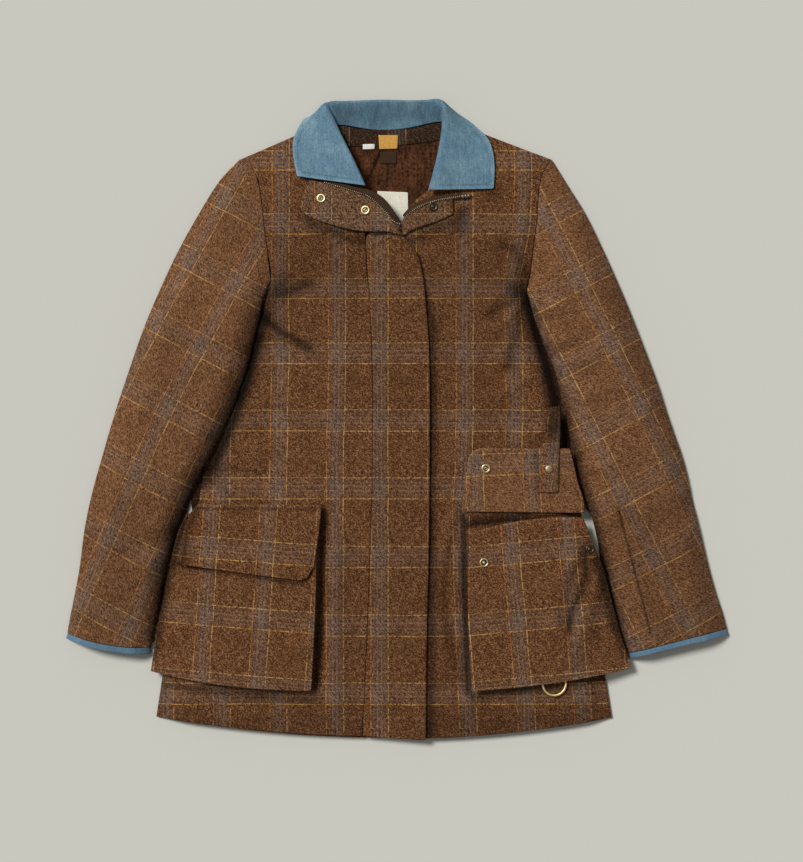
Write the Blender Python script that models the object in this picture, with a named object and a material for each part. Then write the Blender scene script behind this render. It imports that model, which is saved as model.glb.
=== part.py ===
"""A woman's tweed shooting coat, laid flat on its back with its front up.

Sizes are in millimetres and become metres where a mesh is made. +X is the wearer's left, +Y runs from
hem to collar, +Z is up from the floor. Heights in the tables are those of a panel's underside.
"""

import math
from collections import namedtuple

import bmesh
import bpy
from mathutils import Vector
from mathutils.bvhtree import BVHTree

MM = 0.001
ABOVE = 1000.0                  # higher than any piece
CENTRE_X, CENTRE_Y = 1.0, -0.96   # middle of the laid coat, moved to the origin

TWEED_WALL = 2.0
DOUBLED_WALL = 3.4              # flaps: two layers of tweed
LINING_WALL = 1.4
LINING_REACH = 9.0              # the back is felt this far round a point of the lining
LABEL_WALL = 0.8
ZIP_WALL = 1.6
STRAP_WALL = 2.6
SEAM = 0.3
LAID_GAP = 0.4                  # between a panel and what lies on it
STEEPEST = 0.5                  # a steep panel's wall grows no more than by this

NECK_MIDDLE_X = -14.0
COLLAR_LIFT = 2.9               # the back rises this much over the collar's fall
COLLAR_LIFT_FROM_Y = 322.0
COLLAR_LIFT_FULL_Y = 346.0
COLLAR_LIFT_HALF_WIDTH = 112.0
COLLAR_LIFT_FADE = 40.0
COLLAR_WALL = 2.0
COLLAR_ROLL_RADIUS = 2.2
COLLAR_CORNER_RADIUS = 2.4      # added where the fall passes from over the stand to under it
COLLAR_STEPS = 2
COLLAR_STAND_SHARES = (0.0, 0.35, 0.7)
COLLAR_ROLL_DEGREES = (0.0, 45.0, 90.0, 135.0, 180.0)
COLLAR_FALL_SHARES = (0.12, 0.28, 0.5, 0.75, 1.0)
COLLAR_UNDER_POWER = 2.6        # the fall drops at once where it lies under the back
COLLAR_OVER_POWER = 1.6         # and slower where it lies over the stand

ARMHOLE_GAP = 0.5
SLEEVE_OUTER_RISE = 36.0        # width of the rounded outer side
SLEEVE_INNER_RISE = 26.0
SLEEVE_LAP_RAMP = 32.0          # the under sleeve climbs over the body's side along this width
SLEEVE_LAP_CLEAR = 10.0
BINDING_PROUD = 0.5
BINDING_INSET = 0.07            # share of the cuff's width that its folded sides take

POCKET_GUSSET_INSET = 9.0
GUSSET_WALL = 2.0
GUSSET_OUTER_SHARE = 0.17       # the outer gusset stands this far in, over the coat's side
GUSSET_TOP_SHARE = 0.06
GUSSET_STEPS = 7
GUSSET_REACH = 7.0              # the front is felt this far round a point of a gusset

SNAP_RADIUS = 5.6
SNAP_SEGMENTS = 16
RING_WIDTH, RING_DEPTH, RING_WIRE = 33.0, 21.5, 2.6
RING_X, RING_BAR_Y, RING_Z = 200.5, -333.0, 20.0
RING_ARC_STEPS, RING_BAR_STEPS, RING_SIDES = 14, 4, 8
RING_ROUNDNESS = 0.8            # under 1 the arch is squarer than an ellipse
LOOP_WIDTH, LOOP_WALL, LOOP_RADIUS, LOOP_REACH = 20.0, 1.2, 2.4, 3.2

Finish = namedtuple("Finish", "colour roughness metallic")
FINISHES = {
    "tweed": Finish((0.150, 0.070, 0.036), 0.95, 0.0),
    "collar_cloth": Finish((0.105, 0.205, 0.310), 0.90, 0.0),
    "lining_cloth": Finish((0.085, 0.035, 0.020), 0.97, 0.0),
    "facing_cloth": Finish((0.035, 0.025, 0.020), 0.90, 0.0),
    "label_cream": Finish((0.690, 0.650, 0.540), 0.80, 0.0),
    "tab_yellow": Finish((0.720, 0.380, 0.030), 0.70, 0.0),
    "tag_white": Finish((0.780, 0.770, 0.740), 0.70, 0.0),
    "patch_dark": Finish((0.030, 0.015, 0.012), 0.80, 0.0),
    "zip_tape": Finish((0.070, 0.036, 0.020), 0.85, 0.0),
    "antique_brass": Finish((0.560, 0.450, 0.300), 0.35, 1.0),
    "ring_brass": Finish((0.830, 0.640, 0.320), 0.25, 1.0),
}

Front = namedtuple("Front", "side_x side_y edge foot_x crown_x centre_x centre_y loft bow")
EDGE = TWEED_WALL + SEAM        # a front's underside where it is sewn to the back
FRONT_REACH = 8.0               # the back is felt this far round a point of a front
FRONT_RISE_SHARES = (0.25, 0.5, 0.75)
FRONT_FLAT_SHARES = (0.16, 0.34, 0.52, 0.7, 0.86)

# From hem to shoulder: the side or armhole edge, where the side's fold starts and ends, the centre edge.
FRONT_RIGHT = [
    Front(-307, -381, EDGE, -305, -270, -44.0, -405, 10.0, -5.0),
    Front(-299, -326, EDGE, -298, -262, -41.0, -352, 14.0, -3.0),
    Front(-292, -258, EDGE, -291, -256, -37.0, -262, 17.0, -1.0),
    Front(-280, -194, EDGE, -279, -247, -34.5, -195, 19.0, 0.0),
    Front(-258, -130, EDGE, -257, -238, -32.5, -130, 20.0, 0.0),
    Front(-248, -76, EDGE, -247, -232, -30.5, -76, 20.0, 0.0),
    Front(-246, -60, EDGE, -230, -217, -30.2, -57, 20.0, 0.0),
    Front(-244, -28, EDGE, -219, -206, -30.0, -27, 21.0, 0.0),
    Front(-240, 24, EDGE, -203, -192, -30.3, 24, 22.0, 0.0),
    Front(-236, 68, EDGE, -187.5, -176, -31.0, 66, 22.0, 0.0),
    Front(-229, 100, EDGE, -180, -168, -32.0, 98, 22.0, 0.0),
    Front(-223, 123, EDGE, -174, -163, -33.0, 122, 22.0, 0.0),
    Front(-194, 136, 2.8, -170, -159, -33.5, 145, 21.5, 0.0),
    Front(-170, 154, 4.5, -166, -154, -35.0, 165, 21.0, 0.0),
    Front(-160, 178, 11.0, -159, -146, -37.5, 184, 20.0, 0.0),
    Front(-164, 214, 13.0, -163, -148, -39.0, 226, 18.5, 0.0),
    Front(-168, 244, 13.5, -167, -151, -41.5, 250, 17.5, 0.0),
    Front(-171, 273, 13.0, -170, -153, -49.0, 276, 16.0, 0.0),
    Front(-174, 294, 11.0, -173, -156, -59.0, 295, 14.0, 0.0),
    Front(-179, 311, 8.0, -178, -160, -73.0, 322, 12.0, 0.0),
    Front(-187, 321, 5.0, -186, -168, -88.0, 347, 9.5, 0.0),
    Front(-200, 331, EDGE, -199, -182, -104.0, 372, EDGE, 0.0),
]
FRONT_LEFT = [
    Front(275, -382, EDGE, 273, 238, 6, -409, 10.0, -6.0),
    Front(267, -330, EDGE, 266, 232, 6, -356, 14.0, -4.0),
    Front(258, -258, EDGE, 257, 222, 6, -262, 17.0, -1.0),
    Front(248, -181, EDGE, 247, 213, 6, -181, 19.0, 0.0),
    Front(236, -121, EDGE, 234, 208, 6, -121, 20.0, 0.0),
    Front(233, -76, EDGE, 227, 203, 6, -76, 20.5, 0.0),
    Front(231, -47, EDGE, 219, 200, 6, -47, 21.0, 0.0),
    Front(229, -21, EDGE, 213, 197, 6, -21, 21.0, 0.0),
    Front(227, 7, EDGE, 207, 193, 6, 7, 21.5, 0.0),
    Front(225, 43, EDGE, 199, 187, 6, 43, 22.0, 0.0),
    Front(221, 80, EDGE, 188, 177, 6, 80, 22.0, 0.0),
    Front(217, 105, EDGE, 180, 170, 6, 105, 22.0, 0.0),
    Front(213, 120, EDGE, 176, 166, 6, 122, 22.0, 0.0),
    Front(190, 129, 2.8, 173, 162, 6, 140, 21.5, 0.0),
    Front(171, 144, 4.5, 169, 157, 6, 155, 21.0, 0.0),
    Front(166, 162, 10.5, 165, 151, 6, 172, 20.5, 0.0),
    Front(170, 184, 12.5, 169, 154, 6, 190, 19.5, 0.0),
    Front(173, 206, 13.0, 172, 157, 6, 212, 18.5, 0.0),
    Front(176, 231, 13.5, 175, 159, 6, 235, 17.5, 0.0),
    Front(179, 253, 13.5, 178, 161, 9, 256, 16.5, 0.0),
    Front(180, 273, 13.0, 179, 162, 24, 277, 15.5, 0.0),
    Front(182, 296, 11.0, 181, 163, 46, 296, 14.0, 0.0),
    Front(187, 314, 7.5, 186, 167, 65, 325, 12.0, 0.0),
    Front(192, 322, 5.0, 191, 172, 78, 349, 9.0, 0.0),
    Front(198, 331, EDGE, 197, 180, 89, 372, EDGE, 0.0),
]
ARMPIT_RIGHT, ARMPIT_LEFT = 14, 15      # rows where the armholes meet the sleeves' inner folds

Back = namedtuple("Back", "right_x right_y left_x left_y bow crest")
BACK_STATIONS = (0, 0.08, 0.16, 0.241, 0.33, 0.42, 0.5, 0.58, 0.65, 0.726, 0.82, 0.91, 1)
BACK_NECK_DIP = 0.16
# From hem to shoulders: the two edges, how far the middle sags below them, how far the neck rises.
BACK = [
    Back(-307, -381, 275, -382, -27, 0),
    Back(-299, -326, 267, -330, -22, 0),
    Back(-292, -258, 258, -258, -8, 0),
    Back(-280, -194, 248, -181, 0, 0),
    Back(-258, -130, 236, -121, 0, 0),
    Back(-248, -76, 233, -76, 0, 0),
    Back(-244, -28, 229, -21, 0, 0),
    Back(-240, 24, 226, 30, 0, 0),
    Back(-236, 68, 221, 80, 0, 0),
    Back(-223, 123, 213, 120, 0, 0),
    Back(-194, 136, 190, 129, 0, 4),
    Back(-170, 154, 171, 144, 0, 6),
    Back(-160, 178, 166, 162, 0, 8),
    Back(-164, 214, 173, 206, 0, 10),
    Back(-168, 244, 176, 231, 0, 13),
    Back(-171, 273, 180, 273, 0, 16),
    Back(-174, 294, 182, 296, 0, 22),
    Back(-179, 311, 187, 314, 0, 29),
    Back(-187, 321, 192, 322, 0, 36),
    Back(-200, 331, 198, 331, 0, 41),
]

Sleeve = namedtuple("Sleeve", "outer_x outer_y inner_x inner_y loft lap cap")
# From armhole to cuff: outer and inner fold, height, how high the inner fold lies on the body, and the
# share of the armhole's own shape that is left.
SLEEVE_RIGHT = [
    Sleeve(-200, 331, -160, 178, 15, 8.6, 1.0),
    Sleeve(-226, 304, -165.5, 165, 22, 9.2, 0.62),
    Sleeve(-250, 266, -170.5, 152, 26, 9.2, 0.3),
    Sleeve(-279, 214, -175, 130, 29, 7.6, 0.1),
    Sleeve(-303, 163, -182, 101, 30, 5.6, 0.0),
    Sleeve(-322, 118, -190.5, 66, 30, 5.4, 0.0),
    Sleeve(-340, 67, -204, 27, 30, 5.4, 0.0),
    Sleeve(-359, 10, -217.5, -5, 29, 5.4, 0.0),
    Sleeve(-376, -48, -238, -47, 28, 5.4, 0.0),
    Sleeve(-389, -95, -262, -93, 27, 2.5, 0.0),
    Sleeve(-399, -143, -281, -143, 26, 0.0, 0.0),
    Sleeve(-405, -190, -294, -190, 25, 0.0, 0.0),
    Sleeve(-413, -233, -303, -238, 23, 0.0, 0.0),
    Sleeve(-418, -258, -309, -268, 20, 0.0, 0.0),
    Sleeve(-420.5, -274, -314, -292, 18, 0.0, 0.0),
]
SLEEVE_LEFT = [
    Sleeve(198, 331, 166, 162, 15, 8.4, 1.0),
    Sleeve(217, 301, 170.5, 150, 22, 8.4, 0.62),
    Sleeve(241, 262, 173, 139, 26, 8.0, 0.3),
    Sleeve(268, 206, 181, 115, 29, 6.4, 0.1),
    Sleeve(293, 149, 191, 88, 30, 5.6, 0.0),
    Sleeve(312, 101, 201, 66, 30, 5.4, 0.0),
    Sleeve(330, 54, 210, 31, 30, 5.4, 0.0),
    Sleeve(350, -6, 219, -12, 29, 5.4, 0.0),
    Sleeve(367, -56, 229, -56, 28, 5.4, 0.0),
    Sleeve(379, -108, 243, -108, 27, 5.4, 0.0),
    Sleeve(390, -153, 259, -153, 26, 0.0, 0.0),
    Sleeve(400, -195, 268, -190, 25, 0.0, 0.0),
    Sleeve(409, -226, 278, -236, 23, 0.0, 0.0),
    Sleeve(417, -250, 287, -272, 20, 0.0, 0.0),
    Sleeve(421.5, -268.5, 295, -300, 18, 0.0, 0.0),
]
CUFF_RIGHT_BOW, CUFF_LEFT_BOW = -5.0, 1.0   # how far the cuffs' edges bulge towards the collar
CUFF_BOW_ROWS = 3
CUFF_RIGHT_END = ((-422.5, -281), (-313.5, -300.5))
CUFF_LEFT_END = ((424.5, -276), (297, -306.8))
ARMHOLE_RIGHT_SPLITS = (1, 1, 2, 2, 2, 3, 4)
ARMHOLE_LEFT_SPLITS = (1, 1, 1, 2, 1, 2, 2, 2, 3)

Fly = namedtuple("Fly", "inner_x inner_y inner_z free_x free_y free_z steps")
FLY_STATIONS = (0.0, 0.22, 0.45, 0.68, 0.88, 1.0)
# The right fly from hem to neck, then turned back over itself: its sewn edge and its free edge.
FLY_RIGHT = [
    Fly(-43.4, -405, 11.0, 37.5, -410, 15.5, 1),
    Fly(-40.4, -352, 15.0, 37.4, -352, 19.5, 1),
    Fly(-36.4, -262, 18.0, 38.5, -262, 22.6, 1),
    Fly(-33.9, -195, 20.0, 40.3, -195, 24.6, 1),
    Fly(-31.9, -130, 21.0, 41.6, -128, 25.6, 1),
    Fly(-29.9, -66, 21.8, 42.0, -66, 26.8, 1),
    Fly(-29.5, 24, 23.0, 42.4, 24, 27.2, 1),
    Fly(-30.6, 80, 23.0, 42.0, 80, 27.4, 1),
    Fly(-33.0, 145, 22.6, 37.8, 140, 27.2, 1),
    Fly(-36.8, 184, 21.4, 33.5, 186, 26.4, 1),
    Fly(-37.9, 212, 20.8, 27.5, 206, 25.8, 2),
    Fly(-38.0, 232, 20.8, 21, 216, 25.8, 3),
    Fly(-24, 243, 22.6, 14.5, 224, 25.2, 3),
    Fly(2.5, 242.5, 26.6, 7.5, 230.5, 28.4, 3),
    Fly(-4.5, 247.5, 30.8, -2, 234.5, 31.8, 2),
    Fly(-10.5, 256.5, 30.4, -13, 236.5, 30.8, 1),
    Fly(-17.5, 265.0, 30.2, -25, 236.5, 30.2, 1),
    Fly(-36.5, 281.0, 28.6, -40, 236.4, 28.4, 1),
    Fly(-61, 290.0, 24.6, -66, 240.5, 25.2, 1),
    Fly(-88, 298.5, 20.8, -92, 249.0, 22.4, 1),
    Fly(-104, 302, 18.8, -116.5, 257.5, 21.2, 1),
    Fly(-112, 303, 18.2, -123, 267.5, 20.2, 1),
]
FLY_LEFT = [
    Fly(5.4, 188, 20.5, -18, 190, 18.6, 1),
    Fly(4.2, 222, 17.8, -14, 210, 18.0, 3),
    Fly(5.2, 243, 20.8, -2, 224, 22.0, 3),
    Fly(12, 254, 23.2, 11, 233.5, 22.0, 3),
    Fly(24.5, 264.5, 24.2, 22, 240.5, 23.2, 2),
    Fly(43, 273.0, 23.8, 38, 246, 22.6, 1),
    Fly(60, 277.4, 22.0, 54.5, 250.6, 21.2, 1),
    Fly(71, 279.2, 20.8, 72.6, 260.4, 20.4, 1),
]
FLY_LEFT_STATIONS = (0.0, 0.33, 0.66, 1.0)

Tape = namedtuple("Tape", "teeth_x teeth_y teeth_z neck_x neck_y neck_z")
# The zip tapes along the neck's opening: the teeth's line and the tape's other edge.
ZIP_RIGHT = [
    Tape(3.6, 246.6, 25.8, 5.2, 249.6, 22.6),
    Tape(-3.4, 249.0, 29.4, 0.4, 257.4, 24.6),
    Tape(-13.3, 261.3, 29.9, -5.6, 266.4, 25.6),
    Tape(-22.7, 270.4, 29.4, -15.2, 280.0, 25.6),
    Tape(-36.1, 281.6, 28.2, -32.6, 290.0, 25.4),
    Tape(-49.8, 286.6, 26.0, -48.8, 292.4, 25.2),
    Tape(-69.8, 293.5, 23.0, -69.4, 297.8, 22.6),
    Tape(-91, 299.9, 20.2, -90.6, 303.2, 19.8),
]
ZIP_LEFT = [
    Tape(11.4, 254.8, 22.6, 7.8, 257.8, 18.6),
    Tape(23.8, 265.3, 24.2, 18.5, 271.4, 20.0),
    Tape(42.5, 273.6, 23.8, 39.6, 280.4, 20.4),
    Tape(60.0, 278.1, 22.0, 59.0, 283.0, 20.4),
    Tape(72, 280.2, 20.8, 72.4, 284.6, 20.0),
    Tape(90, 283.0, 20.0, 90.0, 286.0, 19.6),
]

Collar = namedtuple("Collar", "seam_x seam_y seam_z roll_x roll_y roll_z edge_x edge_y edge_z over")
# Round the neck from the right tip to the left: neck seam, middle of the roll, the fall's edge, and the
# degrees that the fall lies over the stand, which are negative where it lies under it.
COLLAR = [
    Collar(-70, 304, 18.6, -41.5, 295.0, 28.4, -126, 307.5, 22.4, 90),
    Collar(-82, 328, 16.6, -56.5, 328, 25.5, -131, 331, 18.2, 88),
    Collar(-97, 351, 13.6, -73.0, 360, 22.0, -132, 355, 11.5, 76),
    Collar(-97, 366, 11.0, -84.0, 383, 17.5, -122, 376.5, 6.6, 40),
    Collar(-84, 373.5, 9.6, -90.5, 397.5, 12.4, -113, 383, 2.6, 12),
    Collar(-66, 374.5, 8.6, -72, 401.5, 9.6, -82, 370, 1.15, -60),
    Collar(-43, 370.5, 7.2, -45, 403, 8.8, -48, 358, 1.15, -85),
    Collar(-15, 368, 6.8, -15, 404.2, 8.5, -15, 354, 1.15, -90),
    Collar(16, 371, 7.2, 18, 403, 8.8, 18, 358, 1.15, -85),
    Collar(42, 377, 8.6, 44, 403.5, 9.6, 53, 370, 1.15, -60),
    Collar(58, 378.5, 9.4, 56.5, 401.3, 12.4, 84, 384, 2.6, 12),
    Collar(77, 374, 10.4, 61.5, 387, 17.6, 102, 371, 7.2, 40),
    Collar(87, 356, 13.0, 59.5, 361, 21.8, 119, 354, 12.0, 76),
    Collar(84, 326, 16.6, 54.0, 331, 25.0, 125, 324, 17.4, 88),
    Collar(72, 298, 18.6, 43.0, 289.5, 26.6, 123.5, 292.0, 19.0, 90),
]

Patch = namedtuple("Patch", "right_x right_y left_x left_y bow")
LINING_ROWS = [
    Patch(-62, 226, 62, 226, 0),
    Patch(-66, 262, 68, 262, 0),
    Patch(-72, 300, 74, 300, 0),
    Patch(-80, 336, 76, 336, 0),
    Patch(-76, 369, 60, 374, -9),
]
FACING_ROWS = [
    Patch(-74, 348, 66, 357, -4),
    Patch(-76, 358, 64, 365, -6),
    Patch(-73, 368.0, 58, 373.0, -9),
]
TAB_ROWS = [Patch(-22, 343.8, 1.0, 344.3, 0), Patch(-23, 361.6, 2.0, 361.6, 0)]
TAG_ROWS = [Patch(-43, 343.4, -28, 344.0, 0), Patch(-43, 350.0, -28, 350.4, 0)]
SIZE_PATCH_ROWS = [Patch(-21, 325.5, 0, 325.5, 0), Patch(-21, 340.4, 0, 340.4, 0)]
LABEL_ROWS = [
    Patch(-24, 240, 15, 240, 0),
    Patch(-24, 265, 15, 265, 0),
    Patch(-24.5, 290.5, 14.5, 289.0, 0),
]
PATCH_STATIONS = (0.0, 0.2, 0.4, 0.5, 0.6, 0.8, 1.0)

Bag = namedtuple("Bag", "outer_x outer_y inner_x inner_y outer_z middle_z inner_z bow")
BAG_MIDDLE = 0.5
BAG_STATIONS = (0.0, 0.09, 0.2, 0.33, 0.48, 0.63, 0.78, 0.92, 1.0)
# Pocket faces from mouth to bottom.
POCKET_RIGHT_BAG = [
    Bag(-267, -121, -100.5, -116, 18.0, 27.0, 28.5, 0),
    Bag(-279, -148, -101.0, -146, 14.5, 29.0, 30.0, 0),
    Bag(-291, -198, -101.6, -198, 13.5, 30.0, 31.0, 0),
    Bag(-299, -242, -103.0, -250, 13.0, 30.0, 31.0, 0),
    Bag(-307, -283, -105.5, -300, 12.5, 29.0, 30.0, -3),
    Bag(-313, -322, -108.2, -345, 12.0, 26.0, 27.5, -6),
]
POCKET_LEFT_BAG = [
    Bag(237, -126, 91.5, -138.0, 20.0, 28.0, 29.5, 7),
    Bag(250.5, -158, 91.5, -165, 17.5, 29.5, 30.5, 4),
    Bag(265, -198, 90.5, -210, 15.5, 30.0, 31.0, 0),
    Bag(276, -240, 91.0, -255, 14.5, 30.0, 31.0, 0),
    Bag(287, -280, 93.0, -302, 13.5, 29.0, 30.0, -2),
    Bag(300, -318, 96.5, -345.5, 12.5, 26.0, 27.5, -4),
]

Flap = namedtuple("Flap", "outer_x outer_y inner_x inner_y lift")
FLAP_STATIONS = (0.0, 0.1, 0.22, 0.36, 0.5, 0.64, 0.78, 0.9, 1.0)
# From the sewn edge to the free one.
POCKET_RIGHT_FLAP = [
    Flap(-252, -109, -95.0, -109.5, 24.5),
    Flap(-262, -121, -95.6, -121, 0),
    Flap(-269, -140, -98.0, -145, 0),
    Flap(-272.5, -163, -101.5, -170, 0),
    Flap(-273, -179, -104.5, -187, 0),
    Flap(-272, -184, -112.0, -201.5, 0),
    Flap(-271, -185.5, -121.5, -205.5, 0),
]
POCKET_LEFT_FLAP = [
    Flap(239, -120, 87.5, -118.4, 0),
    Flap(237.5, -104, 86.5, -104, 0),
    Flap(230, -80, 88.0, -80, 0),
    Flap(225, -58, 90.0, -56, 0),
    Flap(221.5, -45, 92.5, -46.5, 0),
    Flap(220, -40, 99.0, -40.2, 0),
    Flap(219.5, -38.3, 107.0, -37.8, 0),
]
STRAP = [
    Flap(207, 16, 195, 14, 0),
    Flap(208, -8, 189.5, -9, 0),
    Flap(206.5, -37, 185, -38, 0),
    Flap(205.5, -66, 182, -66, 0),
    Flap(204.5, -94, 180, -93.5, 0),
]
STRAP_STATIONS = (0.0, 0.35, 0.68, 1.0)

Fold = namedtuple("Fold", "x y turn length width depth")
# The largest soft troughs and ridges: middle, direction in degrees, size and depth.
FOLDS = [
    Fold(-138, 168, 62, 60, 13, -4.0),
    Fold(-120, 205, 48, 80, 16, 2.5),
    Fold(-150, 80, 78, 90, 15, -2.5),
    Fold(-86, 20, 86, 170, 20, 2.0),
    Fold(-190, -40, 20, 60, 14, -3.0),
    Fold(142, 150, 112, 60, 13, -4.0),
    Fold(128, 196, 128, 70, 16, 2.5),
    Fold(150, 60, 104, 90, 15, -2.5),
    Fold(92, 10, 92, 180, 20, 2.0),
    Fold(-262, 170, -25, 60, 16, -3.0),
    Fold(-285, 90, -18, 70, 18, 2.5),
    Fold(-300, 20, -12, 80, 16, -3.0),
    Fold(-330, -150, -6, 70, 18, -2.5),
    Fold(250, 160, 26, 60, 16, -3.0),
    Fold(275, 80, 20, 70, 18, 2.5),
    Fold(290, 10, 12, 80, 16, -3.0),
    Fold(325, -160, 8, 70, 18, -2.5),
]

Snap = namedtuple("Snap", "name x y on kind")
SNAPS = [
    Snap("snap_fly_upper", -95.6, 279.4, "fly_right", "socket"),
    Snap("snap_fly_lower", -39.2, 263.6, "fly_right", "socket"),
    Snap("snap_fly_left", 46.5, 268.6, "fly_left", "stud"),
    Snap("snap_pocket_flap", 113.3, -63.4, "pocket_left_flap", "socket"),
    Snap("snap_strap", 193.2, -64.2, "pocket_strap", "cap"),
    Snap("snap_pocket_front", 110.7, -182.4, "pocket_left_bag", "stud"),
    Snap("snap_pocket_side", 245.5, -166.0, "pocket_left_bag", "stud"),
]
# Radius as a share of the snap's, and height in millimetres, from the middle out.
SNAP_PROFILES = {
    "socket": ((0.0, 0.5), (0.36, 0.5), (0.46, 1.5), (0.7, 1.9), (0.9, 1.5), (1.0, 0.6), (1.0, 0.0)),
    "stud": ((0.0, 2.3), (0.26, 2.2), (0.36, 0.9), (0.6, 0.8), (0.8, 1.4), (1.0, 0.7), (1.0, 0.0)),
    "cap": ((0.0, 1.9), (0.4, 1.8), (0.7, 1.5), (0.9, 1.0), (1.0, 0.5), (1.0, 0.0)),
}

laid = {}


def blend(start, end, share):
    return start + (end - start) * share


def ease(share):
    share = min(max(share, 0.0), 1.0)
    return share * share * (3.0 - 2.0 * share)


def swell(share):
    """A quarter sine: steep at first, flat at the end."""
    return math.sin(math.pi / 2 * min(max(share, 0.0), 1.0))


def smooth_row(rows, place):
    """A table's columns at a row number that may lie between rows."""
    last = len(rows) - 1
    start = min(int(place), last - 1)
    t = place - start
    near = [rows[min(max(start + step, 0), last)] for step in (-1, 0, 1, 2)]
    return [
        0.5 * (2 * b + (c - a) * t + (2 * a - 5 * b + 4 * c - d) * t * t + (3 * b - a - 3 * c + d) * t ** 3)
        for a, b, c, d in zip(*near)
    ]


def collar_lift(x, y):
    """How far the back rises to lie over the collar's fall."""
    along = ease((y - COLLAR_LIFT_FROM_Y) / (COLLAR_LIFT_FULL_Y - COLLAR_LIFT_FROM_Y))
    beyond = abs(x - NECK_MIDDLE_X) - COLLAR_LIFT_HALF_WIDTH
    return COLLAR_LIFT * along * (1.0 - ease(beyond / COLLAR_LIFT_FADE))


def fold_height(x, y):
    height = 0.0
    for fold in FOLDS:
        turn = math.radians(fold.turn)
        along = (x - fold.x) * math.cos(turn) + (y - fold.y) * math.sin(turn)
        across = (y - fold.y) * math.cos(turn) - (x - fold.x) * math.sin(turn)
        height += fold.depth * math.exp(-((2 * along / fold.length) ** 2) - (across / fold.width) ** 2)
    return height


def top_of(x, y, names, reach=0.0):
    """The highest point of the named pieces at a place, or within reach of it."""
    best = 0.0
    for dx, dy in ((0, 0), (reach, 0), (-reach, 0), (0, reach), (0, -reach)):
        start = placed(x + dx, y + dy, ABOVE)
        for name in names:
            hit = laid[name].ray_cast(start, Vector((0, 0, -1)))[0]
            if hit is not None:
                best = max(best, hit.z / MM)
    return best


def placed(x, y, z):
    """A point of the tables in metres from the laid coat's middle."""
    return Vector(((x - CENTRE_X) * MM, (y - CENTRE_Y) * MM, z * MM))


def material_of(name, finish):
    material = bpy.data.materials.new(name)
    material.use_nodes = True
    shader = material.node_tree.nodes["Principled BSDF"]
    shader.inputs["Base Color"].default_value = (*finish.colour, 1.0)
    shader.inputs["Roughness"].default_value = finish.roughness
    shader.inputs["Metallic"].default_value = finish.metallic
    return material


def add_object(name, finish, mesh_data):
    bmesh.ops.recalc_face_normals(mesh_data, faces=mesh_data.faces)
    laid[name] = BVHTree.FromBMesh(mesh_data)
    mesh = bpy.data.meshes.new(name)
    mesh_data.to_mesh(mesh)
    mesh_data.free()
    mesh.shade_smooth()
    mesh.set_sharp_from_angle(angle=math.radians(40))
    mesh.materials.append(material_of(name, FINISHES[finish]))
    piece = bpy.data.objects.new(name, mesh)
    piece.parent = coat
    bpy.context.scene.collection.objects.link(piece)


def add_wall(name, finish, low, high, ring=False):
    """A closed wall between two grids of points that face each other."""
    shape = bmesh.new()
    low, high = (
        [[shape.verts.new(placed(*point)) for point in row] for row in grid]
        for grid in (low, high)
    )
    rows, columns = len(low), len(low[0])
    pairs = [(c, (c + 1) % columns) for c in range(columns if ring else columns - 1)]
    for grid in (low, high):
        for r in range(rows - 1):
            for c, n in pairs:
                shape.faces.new((grid[r][c], grid[r][n], grid[r + 1][n], grid[r + 1][c]))
    for r in (0, rows - 1):
        for c, n in pairs:
            shape.faces.new((low[r][c], low[r][n], high[r][n], high[r][c]))
    if not ring:
        for c in (0, columns - 1):
            for r in range(rows - 1):
                shape.faces.new((low[r][c], low[r + 1][c], high[r + 1][c], high[r][c]))
    add_object(name, finish, shape)


def grid_normals(grid):
    rows, columns = len(grid), len(grid[0])
    normals = []
    for r in range(rows):
        line = []
        for c in range(columns):
            down = Vector(grid[min(r + 1, rows - 1)][c]) - Vector(grid[max(r - 1, 0)][c])
            across = Vector(grid[r][min(c + 1, columns - 1)]) - Vector(grid[r][max(c - 1, 0)])
            line.append(across.cross(down).normalized())
        normals.append(line)
    return normals


def add_sheet(name, finish, low, wall):
    """A laid panel: its underside and the same points moved up, further where it is steep."""
    high = []
    for points, normals in zip(low, grid_normals(low)):
        high.append([(x, y, z + wall / max(abs(n.z), STEEPEST)) for (x, y, z), n in zip(points, normals)])
    add_wall(name, finish, low, high)


def add_turned_sheet(name, finish, middle, wall):
    """A panel that folds over itself: half its wall on each side of its middle surface."""
    low, high = [], []
    for points, normals in zip(middle, grid_normals(middle)):
        low.append([tuple(Vector(p) - n * (wall / 2)) for p, n in zip(points, normals)])
        high.append([tuple(Vector(p) + n * (wall / 2)) for p, n in zip(points, normals)])
    add_wall(name, finish, low, high)


def drape(plan, on, gap, lift=None, passes=12, reach=4.0):
    """Underside heights of a sheet that rests on other pieces and bridges their hollows."""
    rows, columns = len(plan), len(plan[0])
    rest = [[top_of(x, y, on, reach) + gap for x, y in row] for row in plan]
    if lift:
        rest = [[max(z, lift[r]) for z in row] for r, row in enumerate(rest)]
    height = [row[:] for row in rest]
    for _ in range(passes):
        before = [row[:] for row in height]
        for r in range(rows):
            for c in range(columns):
                near = [
                    before[min(max(r + dr, 0), rows - 1)][min(max(c + dc, 0), columns - 1)]
                    for dr, dc in ((1, 0), (-1, 0), (0, 1), (0, -1))
                ]
                height[r][c] = max(rest[r][c], sum(near) / 4)
    return [[(x, y, z) for (x, y), z in zip(*pair)] for pair in zip(plan, height)]


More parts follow.
